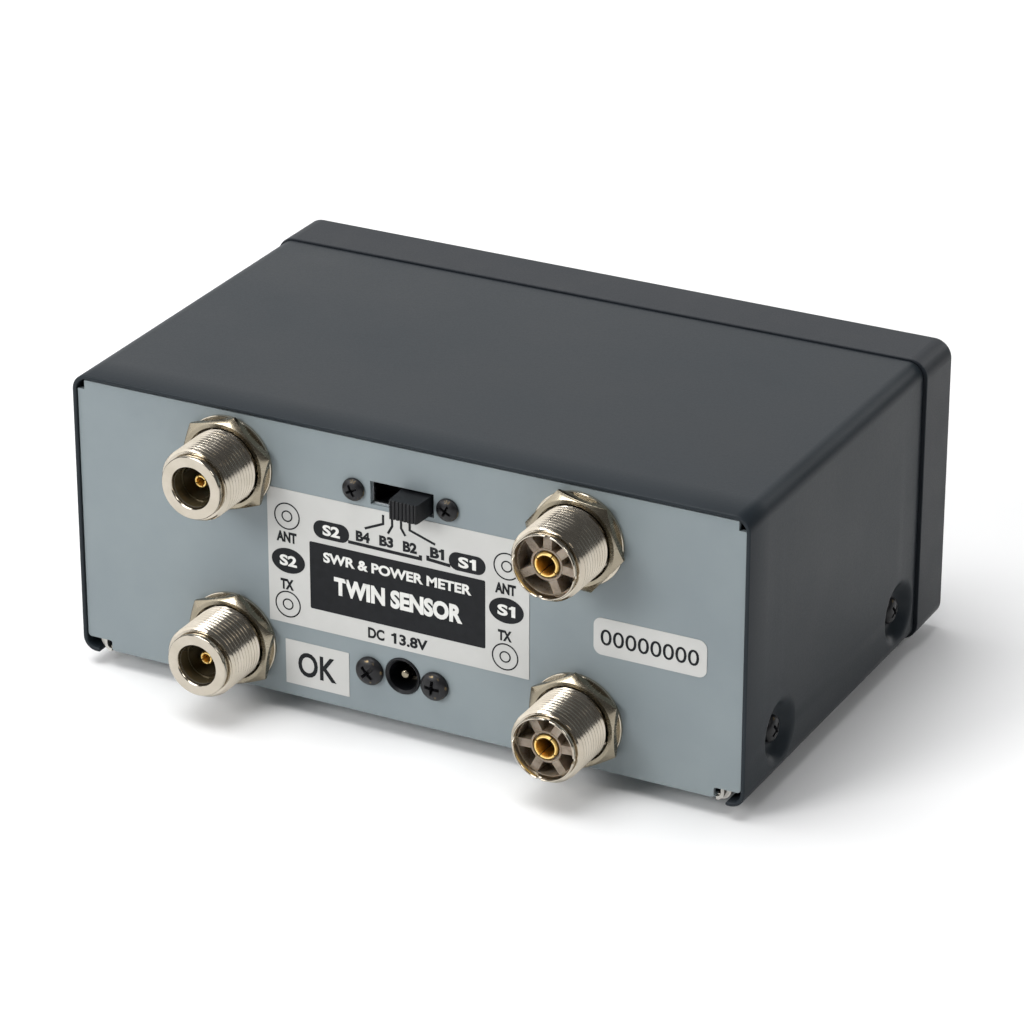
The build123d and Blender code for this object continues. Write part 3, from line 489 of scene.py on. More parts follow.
def reach_of(words, bold):
    """How far the letters reach to the left and to the right."""
    mesh = letter_mesh(words, bold)
    xs = [v.co.x for v in mesh.vertices]
    bpy.data.meshes.remove(mesh)
    return min(xs), max(xs)


def lettering(bm, words, cx, cy, width, height, bold, level=0.0):
    """Raised letters fitted to a width and a height. Each figure 1 gets a flag on its bare stem."""
    mesh = letter_mesh(words, bold)
    xs = [v.co.x for v in mesh.vertices]
    ys = [v.co.y for v in mesh.vertices]
    sx = width / (max(xs) - min(xs))
    sy = height / (max(ys) - min(ys))
    middle = Vector(((max(xs) + min(xs)) / 2, (max(ys) + min(ys)) / 2, 0))
    fit = Matrix.Translation((cx, cy, level + INK / 2)) @ Matrix.Diagonal((sx, sy, INK, 1))
    mesh.transform(fit @ Matrix.Translation(-middle))
    bm.from_mesh(mesh)
    bpy.data.meshes.remove(mesh)
    for index, figure in enumerate(words):
        if figure == "1":
            low, high = reach_of(figure, bold)
            stem = cx + (reach_of(words[:index + 1], bold)[1] - (high - low) - middle.x) * sx
            tip, top = stem - height * 0.24, cy + height / 2
            flag = [(stem, top - height * 0.32), (stem, top), (stem - height * 0.04, top - height * 0.1),
                    (tip, top - height * 0.17), (tip, top - height * 0.33)]
            prism(bm, flag[::-1], level, level + INK)


def turned(bm, degrees):
    bm.transform(Matrix.Rotation(math.radians(degrees), 4, "Z"))
    return bm


def piece(name, bm, place, slot, body="case", node=None, bevel=0.0, sharp=32.0, finish=None):
    """Clean a mesh drawn in millimetres, set it in place, and give it its slot's material and its body.

    node is the CAD node that it stands for, and finish replaces the slot's usual material.
    """
    bmesh.ops.remove_doubles(bm, verts=bm.verts, dist=0.0005)
    bmesh.ops.dissolve_degenerate(bm, edges=bm.edges, dist=0.0002)
    bmesh.ops.recalc_face_normals(bm, faces=bm.faces)
    bm.transform(Matrix.Scale(MM, 4))
    mesh = as_mesh(bm, name)
    mesh.materials.append((finish or finishes[slot]).material)
    mesh.shade_smooth()
    mesh.set_sharp_from_angle(angle=math.radians(sharp))
    made = add_object(name, mesh)
    made.matrix_world = place
    if bevel:
        edge = made.modifiers.new("Edges", "BEVEL")
        edge.width = bevel * MM
        edge.segments = 2
        edge.limit_method = "ANGLE"
        edge.angle_limit = math.radians(40)
        edge.harden_normals = True
    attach(made, body)
    if node:
        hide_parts(node)
    return made


# ---- camera ----
camera_data = bpy.data.cameras.new("Camera")
camera_data.lens = 157.55
camera_data.sensor_width = 36.0
camera = add_object("Camera", camera_data)
camera.location = Vector((-0.3947, 0.75705, 0.4284))
camera_aim = Vector((0.01676, -0.03247, 0.01442))
camera.rotation_euler = (camera.location - camera_aim).to_track_quat("Z", "Y").to_euler()
scene.camera = camera


# ---- case ----
COVER_SHEET = 0.9
COVER_TOP_CORNER = 3.5
COVER_LOW_CORNER = 3.1
COVER_LIP_END = 72.65
COVER_LIP_ROUND = 0.4
COVER_EDGE = 0.22
DISH_HEIGHT = 9.9
DISH_FROM_REAR = 16.6
DISH_FROM_FRONT = 8.6
DISH_MOUTH = 7.5
DISH_FLOOR = 3.3
DISH_DEPTH = 2.6
DISH_STEPS = 44
FOOT_RADIUS = 6.0
FOOT_HEIGHT = 3.0
dish_places = [(cover_low.y + DISH_FROM_FRONT, base_z + DISH_HEIGHT),
               (cover_high.y - DISH_FROM_REAR, base_z + DISH_HEIGHT)]


def dish_drop(y, z):
    """How far the stamped dishes push the cover's side in at a point."""
    drop = 0.0
    for dish_y, dish_z in dish_places:
        reach = math.hypot(y - dish_y, z - dish_z)
        t = min(1.0, max(0.0, (DISH_MOUTH - reach) / (DISH_MOUTH - DISH_FLOOR)))
        drop = max(drop, DISH_DEPTH * t * t * (3 - 2 * t))
    return drop


def cover_section(inset, y):
    """The cover's section at one depth, drawn in by inset, from the left lip round to the right lip."""
    half = cover_high.x
    top = cover_high.z
    low_centre = (half - COVER_LOW_CORNER, base_z + COVER_LOW_CORNER)
    top_centre = (half - COVER_TOP_CORNER, top - COVER_TOP_CORNER)
    off_middle = inset - COVER_SHEET / 2
    tip_x = COVER_LIP_END + COVER_LIP_ROUND - math.sqrt(max(0.0, COVER_LIP_ROUND ** 2 - off_middle ** 2))
    right = [(tip_x, base_z + inset)]
    right += arc(*low_centre, COVER_LOW_CORNER - inset, 270, 360, 10)
    dish_top = base_z + DISH_HEIGHT + DISH_MOUTH
    right += [(half - inset, z) for z in spaced(low_centre[1], dish_top, DISH_STEPS)[1:]]
    right += arc(*top_centre, COVER_TOP_CORNER - inset, 0, 90, 12)
    points = []
    for x, z in right:
        on_side = max(0.0, min(1.0, (x - low_centre[0]) / COVER_LOW_CORNER))
        points.append((x - dish_drop(y, z) * on_side, y, z))
    return [(-x, y, z) for x, y, z in points] + [(x, y, z) for x, y, z in reversed(points)]


def make_cover():
    """A folded sheet with rounded cut edges and four stamped dishes in its sides."""
    front, rear = cover_low.y, cover_high.y
    depths = [front + COVER_EDGE]
    for dish_y, _ in dish_places:
        depths += spaced(dish_y - DISH_MOUTH, dish_y + DISH_MOUTH, DISH_STEPS)
    depths.append(rear - COVER_EDGE)
    # A cut edge rounds over in two steps, each as far in from the sheet's face and back from its end.
    rounding = ((COVER_EDGE, 0.0), (0.3 * COVER_EDGE, 0.3 * COVER_EDGE))
    rows = [(inset, front + back) for inset, back in rounding]
    rows += [(0.0, y) for y in depths]
    rows += [(inset, rear - back) for inset, back in rounding[::-1]]
    rows += [(COVER_SHEET - inset, rear - back) for inset, back in rounding]
    rows += [(COVER_SHEET, y) for y in reversed(depths)]
    rows += [(COVER_SHEET - inset, front + back) for inset, back in rounding[::-1]]
    bm = bmesh.new()
    grid = skin(bm, [cover_section(inset, y) for inset, y in rows], wrap_columns=False, wrap_rows=True)
    bm.faces.new([row[0] for row in grid])
    bm.faces.new([row[-1] for row in reversed(grid)])
    piece("Cover", bm, at(0, 0, 0), "case_paint", node="top_cover", sharp=50)


def make_feet():
    """Four rubber feet, each with a hollow underneath."""
    low, high = box_mm("feet")
    tread = -FOOT_HEIGHT
    section = [(0.0, -1.2), (1.7, -1.2), (1.9, -1.4), (2.1, tread), (FOOT_RADIUS - 1.1, tread),
               (FOOT_RADIUS - 0.5, tread + 0.15), (FOOT_RADIUS - 0.15, tread + 0.6), (FOOT_RADIUS, -0.3),
               (FOOT_RADIUS, -0.1), (FOOT_RADIUS - 0.1, 0.0), (0.0, 0.0)]
    bm = bmesh.new()
    for x in (low.x + FOOT_RADIUS, high.x - FOOT_RADIUS):
        for y in (low.y + FOOT_RADIUS, high.y - FOOT_RADIUS):
            one = bmesh.new()
            lathe(one, section, 64)
            one.transform(Matrix.Translation((x, y, FOOT_HEIGHT)))
            join(bm, one)
    piece("Feet", bm, at(0, 0, 0), "rubber", node="feet")


# ---- screws ----
SWITCH_SCREW_X = 10.7
SWITCH_SCREW_HEIGHT = 50.9
JACK_SCREW_X = 7.5
JACK_SCREW_HEIGHT = 10.9


def cross(arm, half_width):
    """The outline of a cross, anticlockwise."""
    a, w = arm, half_width
    quarter = [(a, -w), (a, w), (w, w)]
    points = []
    for _ in range(4):
        points += quarter
        quarter = [(-y, x) for x, y in quarter]
    return points


def cross_recess(head, height):
    """The hollow for a cross-point driver, narrower as it goes down."""
    levels = [(head * 0.62, head * 0.135, height + 0.3), (head * 0.56, head * 0.115, height * 0.9),
              (head * 0.22, head * 0.075, height * 0.2)]
    bm = bmesh.new()
    grid = skin(bm, [[(x, y, z) for x, y in cross(arm, half)] for arm, half, z in levels])
    bm.faces.new(grid[0])
    bm.faces.new(grid[-1])
    return bm


def pan_screw(name, head, height, shank, length, turn, place, node):
    """A cross-recess pan head with its seat at local z = 0."""
    section = [(0.0, height)]
    for angle in (12, 24, 36, 48, 60, 70, 80, 90):
        across, up = math.sin(math.radians(angle)), math.cos(math.radians(angle))
        section.append((head * across, height * (0.30 + 0.70 * up)))
    section += [(head, 0.12), (head - 0.12, 0.0), (shank, 0.0), (shank, 0.3 - length), (shank - 0.3, -length),
                (0.0, -length)]
    bm = bmesh.new()
    lathe(bm, section, 72)
    cut = cut_away(bm, cross_recess(head, height))
    piece(name, turned(cut, turn), place, "black_screw", node=node, sharp=35)


def make_screws():
    """The cover's screws in their dishes, and the two pairs that hold the switch and the jack."""
    for side, tag in ((1, "Right"), (-1, "Left")):
        for label, (y, z) in zip(("Front", "Rear"), dish_places):
            place = at(side * (cover_high.x - DISH_DEPTH), y, z, tag.lower())
            pan_screw(f"CoverScrew{label}{tag}", 2.9, 1.9, 1.5, 4.0, 35, place, "cover_screws")
    for side, tag in ((1, "Right"), (-1, "Left")):
        place = at(side * SWITCH_SCREW_X, panel_y, base_z + SWITCH_SCREW_HEIGHT, "rear")
        pan_screw(f"SwitchScrew{tag}", 2.45, 1.5, 1.15, 4.0, 28 * side, place, "band_switch_screws")
        place = at(side * JACK_SCREW_X, panel_y, base_z + JACK_SCREW_HEIGHT, "rear")
        pan_screw(f"JackScrew{tag}", 3.1, 1.9, 1.3, 4.5, 20 + 24 * side, place, "jack_screws")


# ---- connectors ----
# Levels along a receptacle's axis are counted outwards from the rear panel's face.
THREAD_PITCH = 25.4 / 24
THREAD_CREST = 7.94
THREAD_ROOT = 7.32
THREAD_FOOT = 2.2
PANEL_SHEET = 1.0
FLANGE_RADIUS = 9.2
FLANGE_BACK = -4.6
BARREL_RADIUS = 6.4
BARREL_BACK = -9.6
CONTACT_BACK = -11.6
CONTACT_FLOOR = 3.4
N_RIM = 6.79
N_BORE = 4.15
N_BORE_TOP = 11.5
N_BEAD = 4.7
N_CONTACT = 1.45
UHF_RIM = 6.94
UHF_BORE = 5.0
UHF_BORE_TOP = 4.5
UHF_CONTACT = 2.62
WASHER_RADIUS = 10.1
WASHER_THICKNESS = 0.8
NUT_FLATS = 19.0
NUT_THICKNESS = 2.2
NUT_TURN = {"s2_ant": 43.0, "s2_tx": 41.0, "s1_ant": 10.0, "s1_tx": 31.0}
NUT_HOLE = 8.02
SHELL_COLUMNS = 144
NOTCH_DEPTH = 0.7
NOTCH_HALF = 0.5
NOTCH_TURN = -7.0
# Where the brown mouldings' spokes stand, counted from local X in degrees.
SPOKE_TURNS = {"s1_ant": (-150.0, -67.0, -6.0, 41.0, 88.0, 131.0),
               "s1_tx": (-178.0, -116.0, -53.0, 4.0, 60.0, 119.0)}


def thread(bm, foot, tip):
    """An external 60 degree thread as one helical sheet. Its turns run out flat at both ends."""
    phases = [(-0.10, 0.14), (-0.035, 0.02), (0.05, 0.02), (0.115, 0.14), (0.46, 1.0), (0.60, 1.0)]
    per_turn = len(phases)
    turns = math.ceil((tip - foot) / THREAD_PITCH) + 1
    depth = THREAD_CREST - THREAD_ROOT
    grid = []
    for i in range(-per_turn, turns * per_turn + 1):
        phase, drop = phases[i % per_turn]
        level = foot + (i // per_turn + phase) * THREAD_PITCH
        row = []
        for j in range(SHELL_COLUMNS):
            z = level + THREAD_PITCH * j / SHELL_COLUMNS
            run_out = min(max(0.0, tip - z) * 0.9, max(0.0, z - foot) * 1.2)
            radius = min(THREAD_CREST - drop * depth, THREAD_ROOT + run_out)
            z = min(max(z, foot), tip)
            angle = math.tau * j / SHELL_COLUMNS
            row.append(bm.verts.new((radius * math.cos(angle), radius * math.sin(angle), z)))
        grid.append(row)
    for i in range(len(grid) - 1):
        for j in range(SHELL_COLUMNS - 1):
            bm.faces.new((grid[i][j], grid[i][j + 1], grid[i + 1][j + 1], grid[i + 1][j]))
        if i + 1 + per_turn < len(grid):
            bm.faces.new((grid[i][-1], grid[i + per_turn][0], grid[i + 1 + per_turn][0], grid[i + 1][-1]))


def make_shell(port, rim_radius, rim_length, mouth, inner, chamfer, finish):
    """A receptacle's shell: thread, groove, rim and mouth, and the flange and barrel behind the panel."""
    tip = CONNECTOR_REACH
    thread_tip = tip - rim_length
    notched = port.startswith("s1")
    groove = rim_radius - 0.25
    lead = 0.2 if notched else 0.36
    behind = [(THREAD_ROOT, THREAD_FOOT), (THREAD_ROOT, -PANEL_SHEET), (FLANGE_RADIUS, -PANEL_SHEET),
              (FLANGE_RADIUS, FLANGE_BACK), (BARREL_RADIUS, FLANGE_BACK), (BARREL_RADIUS, BARREL_BACK)]

    def section(angle):
        from_notch = math.radians(abs((angle - NOTCH_TURN + 45) % 90 - 45)) * rim_radius
        top = tip - (NOTCH_DEPTH if notched and from_notch < NOTCH_HALF else 0.0)
        rim = [(mouth, top - lead), (mouth + lead * 0.8, top), (rim_radius - chamfer, top),
               (rim_radius, min(top, tip - chamfer)), (rim_radius, thread_tip + 0.45),
               (groove, thread_tip + 0.35), (groove, thread_tip), (THREAD_ROOT, thread_tip)]
        return behind + inner + rim

    bm = bmesh.new()
    thread(bm, THREAD_FOOT, thread_tip)
    lathe(bm, section, SHELL_COLUMNS)
    piece(f"Shell_{port}", bm, port_place(port), "nickel", node=f"{port}_shell", sharp=45, finish=finish)


def make_nut(port):
    """A hexagon nut with its corners chamfered on the outer face."""
    low, high = WASHER_THICKNESS, WASHER_THICKNESS + NUT_THICKNESS
    half_flats = NUT_FLATS / 2
    flat_face = half_flats - 0.3
    slope = math.tan(math.radians(30))

    def section(angle):
        corner = half_flats / math.cos(math.radians((angle + 30) % 60 - 30))
        edge = high - (corner - flat_face) * slope
        under = low + max(0.0, corner - half_flats - 0.2) * slope * 0.6
        return [(NUT_HOLE, low), (NUT_HOLE, high - 0.45), (NUT_HOLE + 0.42, high), (flat_face, high),
                (corner - 0.1, edge + 0.06), (corner, edge - 0.06), (corner, under + 0.08),
                (corner - 0.1, under), (half_flats - 0.1, low)]

    bm = bmesh.new()
    lathe(bm, section, 120, closed=True)
    nut = turned(bm, 30 - NUT_TURN[port])
    # The nuts take the darker nickel, which carries painted shade.
    piece(f"Nut_{port}", nut, port_place(port), "nickel", node="connector_nuts", sharp=24)


def make_washer(port):
    rim, top, rounding = WASHER_RADIUS, WASHER_THICKNESS, 0.12
    section = [(THREAD_CREST, 0.0), (THREAD_CREST, top), (rim - rounding, top), (rim, top - rounding),
               (rim, rounding), (rim - rounding, 0.0)]
    bm = bmesh.new()
    lathe(bm, section, 120, closed=True)
    piece(f"Washer_{port}", bm, port_place(port), "nickel", node="connector_washers", finish=turned_nickel)


def make_contact(port, outer, bore, tip, slot_mm, slot_depth, turn):
    """A slotted socket contact: four fingers in front of a plain tube."""
    root = tip - slot_depth
    bm = bmesh.new()
    lathe(bm, [(bore, CONTACT_FLOOR), (bore, root), (outer, root), (outer, CONTACT_BACK), (0.0, CONTACT_BACK),
               (0.0, CONTACT_FLOOR)], 64)
    half_gap = math.degrees(slot_mm / 2 / outer)
    finger = [(bore, root), (bore, tip - 0.35), (bore + 0.18, tip), (outer - 0.2, tip), (outer, tip - 0.3),
              (outer, root)]
    for quarter in range(4):
        lathe(bm, finger, 14, closed=True, start=quarter * 90 + half_gap, sweep=90 - 2 * half_gap)
    sensor = port.split("_")[0]
    piece(f"Contact_{port}", turned(bm, turn), port_place(port), "gold", node=f"{sensor}_contacts")


def make_plain_insulator(port, bore, hole):
    """The fluoropolymer bead deep in the mouth."""
    section = [(hole, N_BEAD - 0.2), (hole + 0.2, N_BEAD), (bore - 0.5, N_BEAD), (bore, N_BEAD - 0.3),
               (bore, BARREL_BACK), (hole, BARREL_BACK)]
    bm = bmesh.new()
    lathe(bm, section, 72, closed=True)
    piece(f"Insulator_{port}", bm, port_place(port), "white_insulator", node="s2_insulators")


def spoke_stations(spokes, edge, foot):
    """Turns round the moulding, each with whether a pocket is open there."""
    stations = []
    for centre, following in zip(spokes, spokes[1:] + (spokes[0] + 360,)):
        stations += [(centre, False), (centre + edge, False)]
        stations += [(turn, True) for turn in spaced(centre + foot, following - foot, 6)]
        stations.append((following - edge, False))
    return stations


def make_spoked_insulator(port, bore, hole):
    """The brown moulding: a hub and a rim joined by six spokes, with deep pockets between."""
    face = CONNECTOR_REACH - 1.6
    floor = face - 3.9
    spoke_half, draft = 0.9, 0.14
    hub, rim = 3.45, 6.30
    lip = face - 0.07
    rows = [(hole, face - 0.9), (hole + 0.26, face - 0.85), (hole + 0.26, lip), (hole + 0.33, face),
            (hub - 0.07, face), (hub, lip), (hub + 0.15, floor), (rim - 0.06, floor), (rim, lip),
            (rim + 0.05, face), (bore - 0.05, face), (bore, lip), (bore, UHF_BORE_TOP),
            (UHF_BORE, UHF_BORE_TOP), (UHF_BORE, BARREL_BACK), (hole, BARREL_BACK)]
    grid = []
    for radius, level in rows:
        edge = math.degrees(math.asin(spoke_half / radius))
        foot = math.degrees(math.asin((spoke_half + draft) / radius))
        row = []
        for turn, is_open in spoke_stations(SPOKE_TURNS[port], edge, foot):
            height = face if level == floor and not is_open else level
            t = math.radians(turn)
            row.append((radius * math.cos(t), radius * math.sin(t), height))
        grid.append(row)
    bm = bmesh.new()
    skin(bm, grid, wrap_rows=True)
    piece(f"Insulator_{port}", bm, port_place(port), "brown_insulator", node="s1_insulators", sharp=25)


def make_connectors():
    """Two type N receptacles with a bead deep in the mouth, and two UHF ones with a brown moulding."""
    for port in connectors:
        if port.startswith("s2"):
            inner = [(N_BORE, BARREL_BACK), (N_BORE, N_BORE_TOP), (N_MOUTH, N_BORE_TOP)]
            make_shell(port, N_RIM, 1.4, N_MOUTH, inner, 0.14, mouth_nickel)
            make_plain_insulator(port, bore=N_BORE - 0.02, hole=N_CONTACT + 0.02)
            make_contact(port, N_CONTACT, 0.8, CONNECTOR_REACH - 3.9, 0.28, slot_depth=4.0, turn=26.0)
        else:
            inner = [(UHF_BORE, BARREL_BACK), (UHF_BORE, UHF_BORE_TOP), (UHF_MOUTH, UHF_BORE_TOP)]
            make_shell(port, UHF_RIM, 1.2, UHF_MOUTH, inner, 0.12, shell_nickel)
            make_spoked_insulator(port, bore=UHF_MOUTH - 0.02, hole=UHF_CONTACT + 0.1)
            make_contact(port, UHF_CONTACT, 1.95, CONNECTOR_REACH - 1.2, 0.26, slot_depth=6.0, turn=58.8)
        make_washer(port)
        make_nut(port)


# ---- rear switch knob ----
def ribbed_knob(bm, low_x, high_x, root, face, height, ribs, taper, rib_depth):
    """A slide knob drawn as a profile across local X, its outer end scalloped by ribs along local Y."""
    profile = [(low_x, root), (low_x + taper, face - 0.45), (low_x + taper + 0.3, face)]
    inner_low, inner_high = low_x + taper + 0.3, high_x - taper - 0.3
    pitch = (inner_high - inner_low) / ribs
    for i in range(ribs):
        start = inner_low + i * pitch
        profile += [(start + pitch * 0.28, face), (start + pitch * 0.5, face - rib_depth),
                    (start + pitch * 0.72, face), (start + pitch, face)]
    profile += [(high_x - taper, face - 0.45), (high_x, root)]
    half = height / 2
    sides = [[(x, y, z) for x, z in profile] for y in (-half, half)]
    grid = skin(bm, sides)
    bm.faces.new(list(reversed(grid[0])))
    bm.faces.new(grid[1])


def make_band_knob():
    """The knob rides in its slot; its carriage runs inside the switch behind the panel."""
    low, high = box_mm("band_knob")
    width, height, root = 7.2, 4.1, -2.4
    left = low.x + 0.1
    bm = bmesh.new()
    # Local X runs towards -X here, so the knob's low side is drawn on the right.
    ribbed_knob(bm, -(left + width), -left, root, high.y - panel_y, height, 7, 0.35, 0.30)
    prism(bm, rounded(width, height, 0.3, 3, -(left + width / 2), 0.0), low.y - panel_y, root)
    place = at(0, panel_y, (low.z + high.z) / 2, "rear")
    piece("BandKnob", bm, place, "black_plastic", "band_selector", "band_knob", bevel=0.12, sharp=40)


# ---- printing on the rear ----
LABEL_FACE = 0.12
BOLD = 0.036
HEAVY = 0.05
# Places are x and height over the cover's underside, in millimetres. A word has its text, its place, its
# width and height, and its weight.
SOCKET_RINGS = ((26.4, 41.5), (26.6, 21.6), (-23.9, 41.3), (-23.5, 21.2))
BLACK_WORDS = (("ANT", 26.6, 36.8, 4.7, 2.4, HEAVY), ("ANT", -23.6, 36.3, 4.7, 2.4, HEAVY),
               ("TX", 26.7, 26.1, 3.1, 2.4, HEAVY), ("TX", -23.45, 25.9, 3.1, 2.4, HEAVY),
               ("B4", 8.8, 40.7, 3.2, 2.35, HEAVY), ("B3", 3.4, 40.8, 3.2, 2.35, HEAVY),
               ("B2", -2.0, 40.7, 3.2, 2.35, HEAVY), ("B1", -8.2, 40.7, 3.2, 2.35, HEAVY),
               ("DC", 6.0, 19.5, 3.8, 2.45, BOLD), ("13.8V", -1.97, 19.5, 7.8, 2.45, BOLD),
               ("OK", 20.0, 8.6, 9.0, 5.6, 0.02), ("00000000", -55.5, 30.7, 21.5, 3.5, 0.004))
WHITE_WORDS = (("S2", 26.3, 31.5, 4.0, 2.45, BOLD), ("S1", -23.8, 31.55, 4.0, 2.45, BOLD),
               ("S2", 16.1, 40.3, 4.0, 2.4, BOLD), ("S1", -15.0, 40.0, 4.0, 2.4, BOLD),
               ("SWR & POWER METER", 1.05, 34.2, 34.0, 2.3, BOLD),
               ("TWIN SENSOR", 0.9, 28.3, 29.5, 4.1, HEAVY))
SENSOR_BARS = (((12.2, 38.9), (-4.4, 38.7), (-4.4, 39.5)), ((-6.1, 39.8), (-6.1, 39.0), (-11.2, 38.65)))
BAND_LEADS = (((4.05, 46.6), (4.05, 44.6), (8.3, 42.7)), ((2.0, 46.5), (2.0, 44.5), (3.0, 42.7)),
              ((-0.05, 46.4), (-0.05, 44.5), (-1.0, 43.0)), ((-2.0, 46.4), (-2.0, 44.5), (-7.8, 42.6)))


def socket_ring(bm, x, z, outer, low, high):
    ring = bmesh.new()
    lathe(ring, [(outer - 0.30, low), (outer, low), (outer, high), (outer - 0.30, high)], 64, closed=True)
    ring.transform(Matrix.Translation((-x, z, 0)))
    join(bm, ring)


def rear_print():
    """Everything printed on the rear label and the two stickers. Local X runs towards -X here."""
    black, white = bmesh.new(), bmesh.new()
    low, high = LABEL_FACE, LABEL_FACE + INK
    for x, z in SOCKET_RINGS:
        socket_ring(black, x, z, 3.0, low, high)
        socket_ring(black, x, z, 1.28, low, high)
    for bm, words, level in ((black, BLACK_WORDS, low), (white, WHITE_WORDS, high)):
        for text, x, z, width, height, weight in words:
            lettering(bm, text, -x, z, width, height, weight, level)
    for lines, width in ((SENSOR_BARS, 0.72), (BAND_LEADS, 0.52)):
        for line in lines:
            prism(black, stroke([(-x, z) for x, z in line], width), low, high)
    # The dark fields behind the white words.
    fields = [ellipse(-26.3, 31.5, 3.9, 2.8), ellipse(23.8, 31.55, 3.9, 2.8),
              rounded(8.3, 4.0, 1.95, 10, -16.1, 40.3), rounded(8.3, 4.0, 1.95, 10, 15.0, 40.0),
              rounded(40.3, 15.1, 0.3, 2, -1.1, 29.55)]
    for field in fields:
        prism(black, field, low, high)
    place = at(0, panel_y, base_z, "rear")
    piece("RearPrintBlack", black, place, "label_film", sharp=60, finish=black_ink)
    piece("RearPrintWhite", white, place, "label_film", sharp=60, finish=white_ink)


# ---- meter face ----
SWEEP = 42.0
FULL_WATTS = 200.0
POWER_ARC = 31.2
SWR_ARC = 25.2
POWER_TICKS = (0, 5, 10, 20, 30, 40, 50, 60, 80, 100, 120, 140, 160, 180, 200)
SWR_TICKS = (1.0, 1.1, 1.2, 1.3, 1.5, 1.7, 2.0, 2.5, 3.0, 4.0, 5.0, 7.0, 10.0)
# Each figure with the watts or the ratio that it stands at, and its width.
HIGH_RANGE = (("0", 0, 1.4), ("20", 20, 2.9), ("50", 50, 2.9), ("100", 100, 4.1), ("200", 200, 4.3))
LOW_RANGE = (("0", 0, 1.1), ("2", 20, 1.1), ("5", 50, 1.1), ("10", 100, 2.1), ("20", 200, 2.3))
RATIOS = (("1", 1.0, 0.8), ("1.5", 1.5, 2.7), ("2", 2.0, 1.2), ("3", 3.0, 1.2), ("5", 5.0, 1.2))


def swept(fraction):
    """The pointer's angle from upright, in degrees to the right, at a fraction of full scale."""
    return -SWEEP + 2 * SWEEP * fraction


def radial(angle, radius):
    t = math.radians(angle)
    return radius * math.sin(t), radius * math.cos(t)


def arc_band(bm, inner, outer, start, end, steps=60):
    """A curved bar between two pointer angles."""
    angles = spaced(start, end, steps)
    outline = [radial(a, inner) for a in angles] + [radial(a, outer) for a in reversed(angles)]
    prism(bm, outline[::-1], 0.0, INK)


def tick(bm, angle, inner, outer, width):
    prism(bm, stroke([radial(angle, inner), radial(angle, outer)], width), 0.0, INK)


def watts_angle(watts):
    """The pointer follows the voltage, so it stands at the root of the power."""
    return swept(math.sqrt(watts / FULL_WATTS))


def ratio_angle(ratio):
    """The pointer follows the reflected part of the voltage."""
    return swept((ratio - 1) / (ratio + 1))


def figures(bm, marks, angle_of, radius, height, weight):
    for text, value, width in marks:
        x, z = radial(angle_of(value), radius)
        lettering(bm, text, x, z, width, height, weight)


def dial_print():
    """Two power ranges on one arc over the reflection arc, drawn round the pointer's pivot."""
    black, red = bmesh.new(), bmesh.new()
    for reach in (POWER_ARC, SWR_ARC):
        arc_band(black, reach, reach + 0.3, -SWEEP, SWEEP)
    for watts in POWER_TICKS:
        rise, width = (2.3, 0.34) if watts in (0, 20, 50, 100, 200) else (1.4, 0.2)
        tick(black, watts_angle(watts), POWER_ARC + 0.1, POWER_ARC + rise, width)
    figures(black, HIGH_RANGE, watts_angle, POWER_ARC + 4.0, 2.0, 0.01)
    figures(black, LOW_RANGE, watts_angle, POWER_ARC - 1.7, 1.6, 0.006)
    for ratio in SWR_TICKS:
        drop, width = (1.7, 0.32) if ratio in (1.0, 1.5, 2.0, 3.0, 5.0, 10.0) else (1.0, 0.18)
        tick(black, ratio_angle(ratio), SWR_ARC - drop, SWR_ARC + 0.1, width)
    figures(black, RATIOS, ratio_angle, SWR_ARC - 3.3, 1.8, 0.008)
    tick(red, SWEEP, SWR_ARC - 1.7, SWR_ARC + 0.1, 0.34)
    arc_band(red, SWR_ARC + 0.5, SWR_ARC + 1.5, ratio_angle(3.0), SWEEP, 30)
    x, z = radial(SWEEP, SWR_ARC - 3.5)
    lettering(red, "∞", x, z, 2.4, 1.2, 0.01)
    x, z = radial(SWEEP, POWER_ARC + 4.0)
    lettering(black, "W", x + 4.4, z, 2.0, 1.9, 0.01)
    lettering(black, "SWR", 0.0, 17.2, 6.2, 2.2, 0.02)
    lettering(black, "POWER", -29.5, -2.0, 8.6, 1.7, 0.01)
    lettering(red, "REFLECTED", 29.5, -2.0, 12.6, 1.7, 0.01)
    place = at(pivot.x, dial_front, pivot.z, "front")
    piece("DialPrintBlack", black, place, "dial_print", sharp=60, finish=black_ink)
    piece("DialPrintRed", red, place, "dial_print", sharp=60, finish=red_ink)


# ---- front controls ----
def make_levers():
    """Slide caps with finger ribs, each on its flat stem."""
    half_width, root = 3.1, -4.0
    for name in ("range", "function", "power"):
        node = f"{name}_lever"
        low, high = box_mm(node)
        x, z = front_middle(node)
        bm = bmesh.new()
        ribbed_knob(bm, -half_width, half_width, root, bezel_front - low.y, 3.8, 5, 0.3, 0.35)
        prism(bm, rounded(2.4, 2.2, 0.2, 2), bezel_front - high.y, root)
        place = at(x, bezel_front, z, "front")
        piece(f"Cap_{name}", bm, place, "knob_plastic", node, node, bevel=0.12, sharp=40)


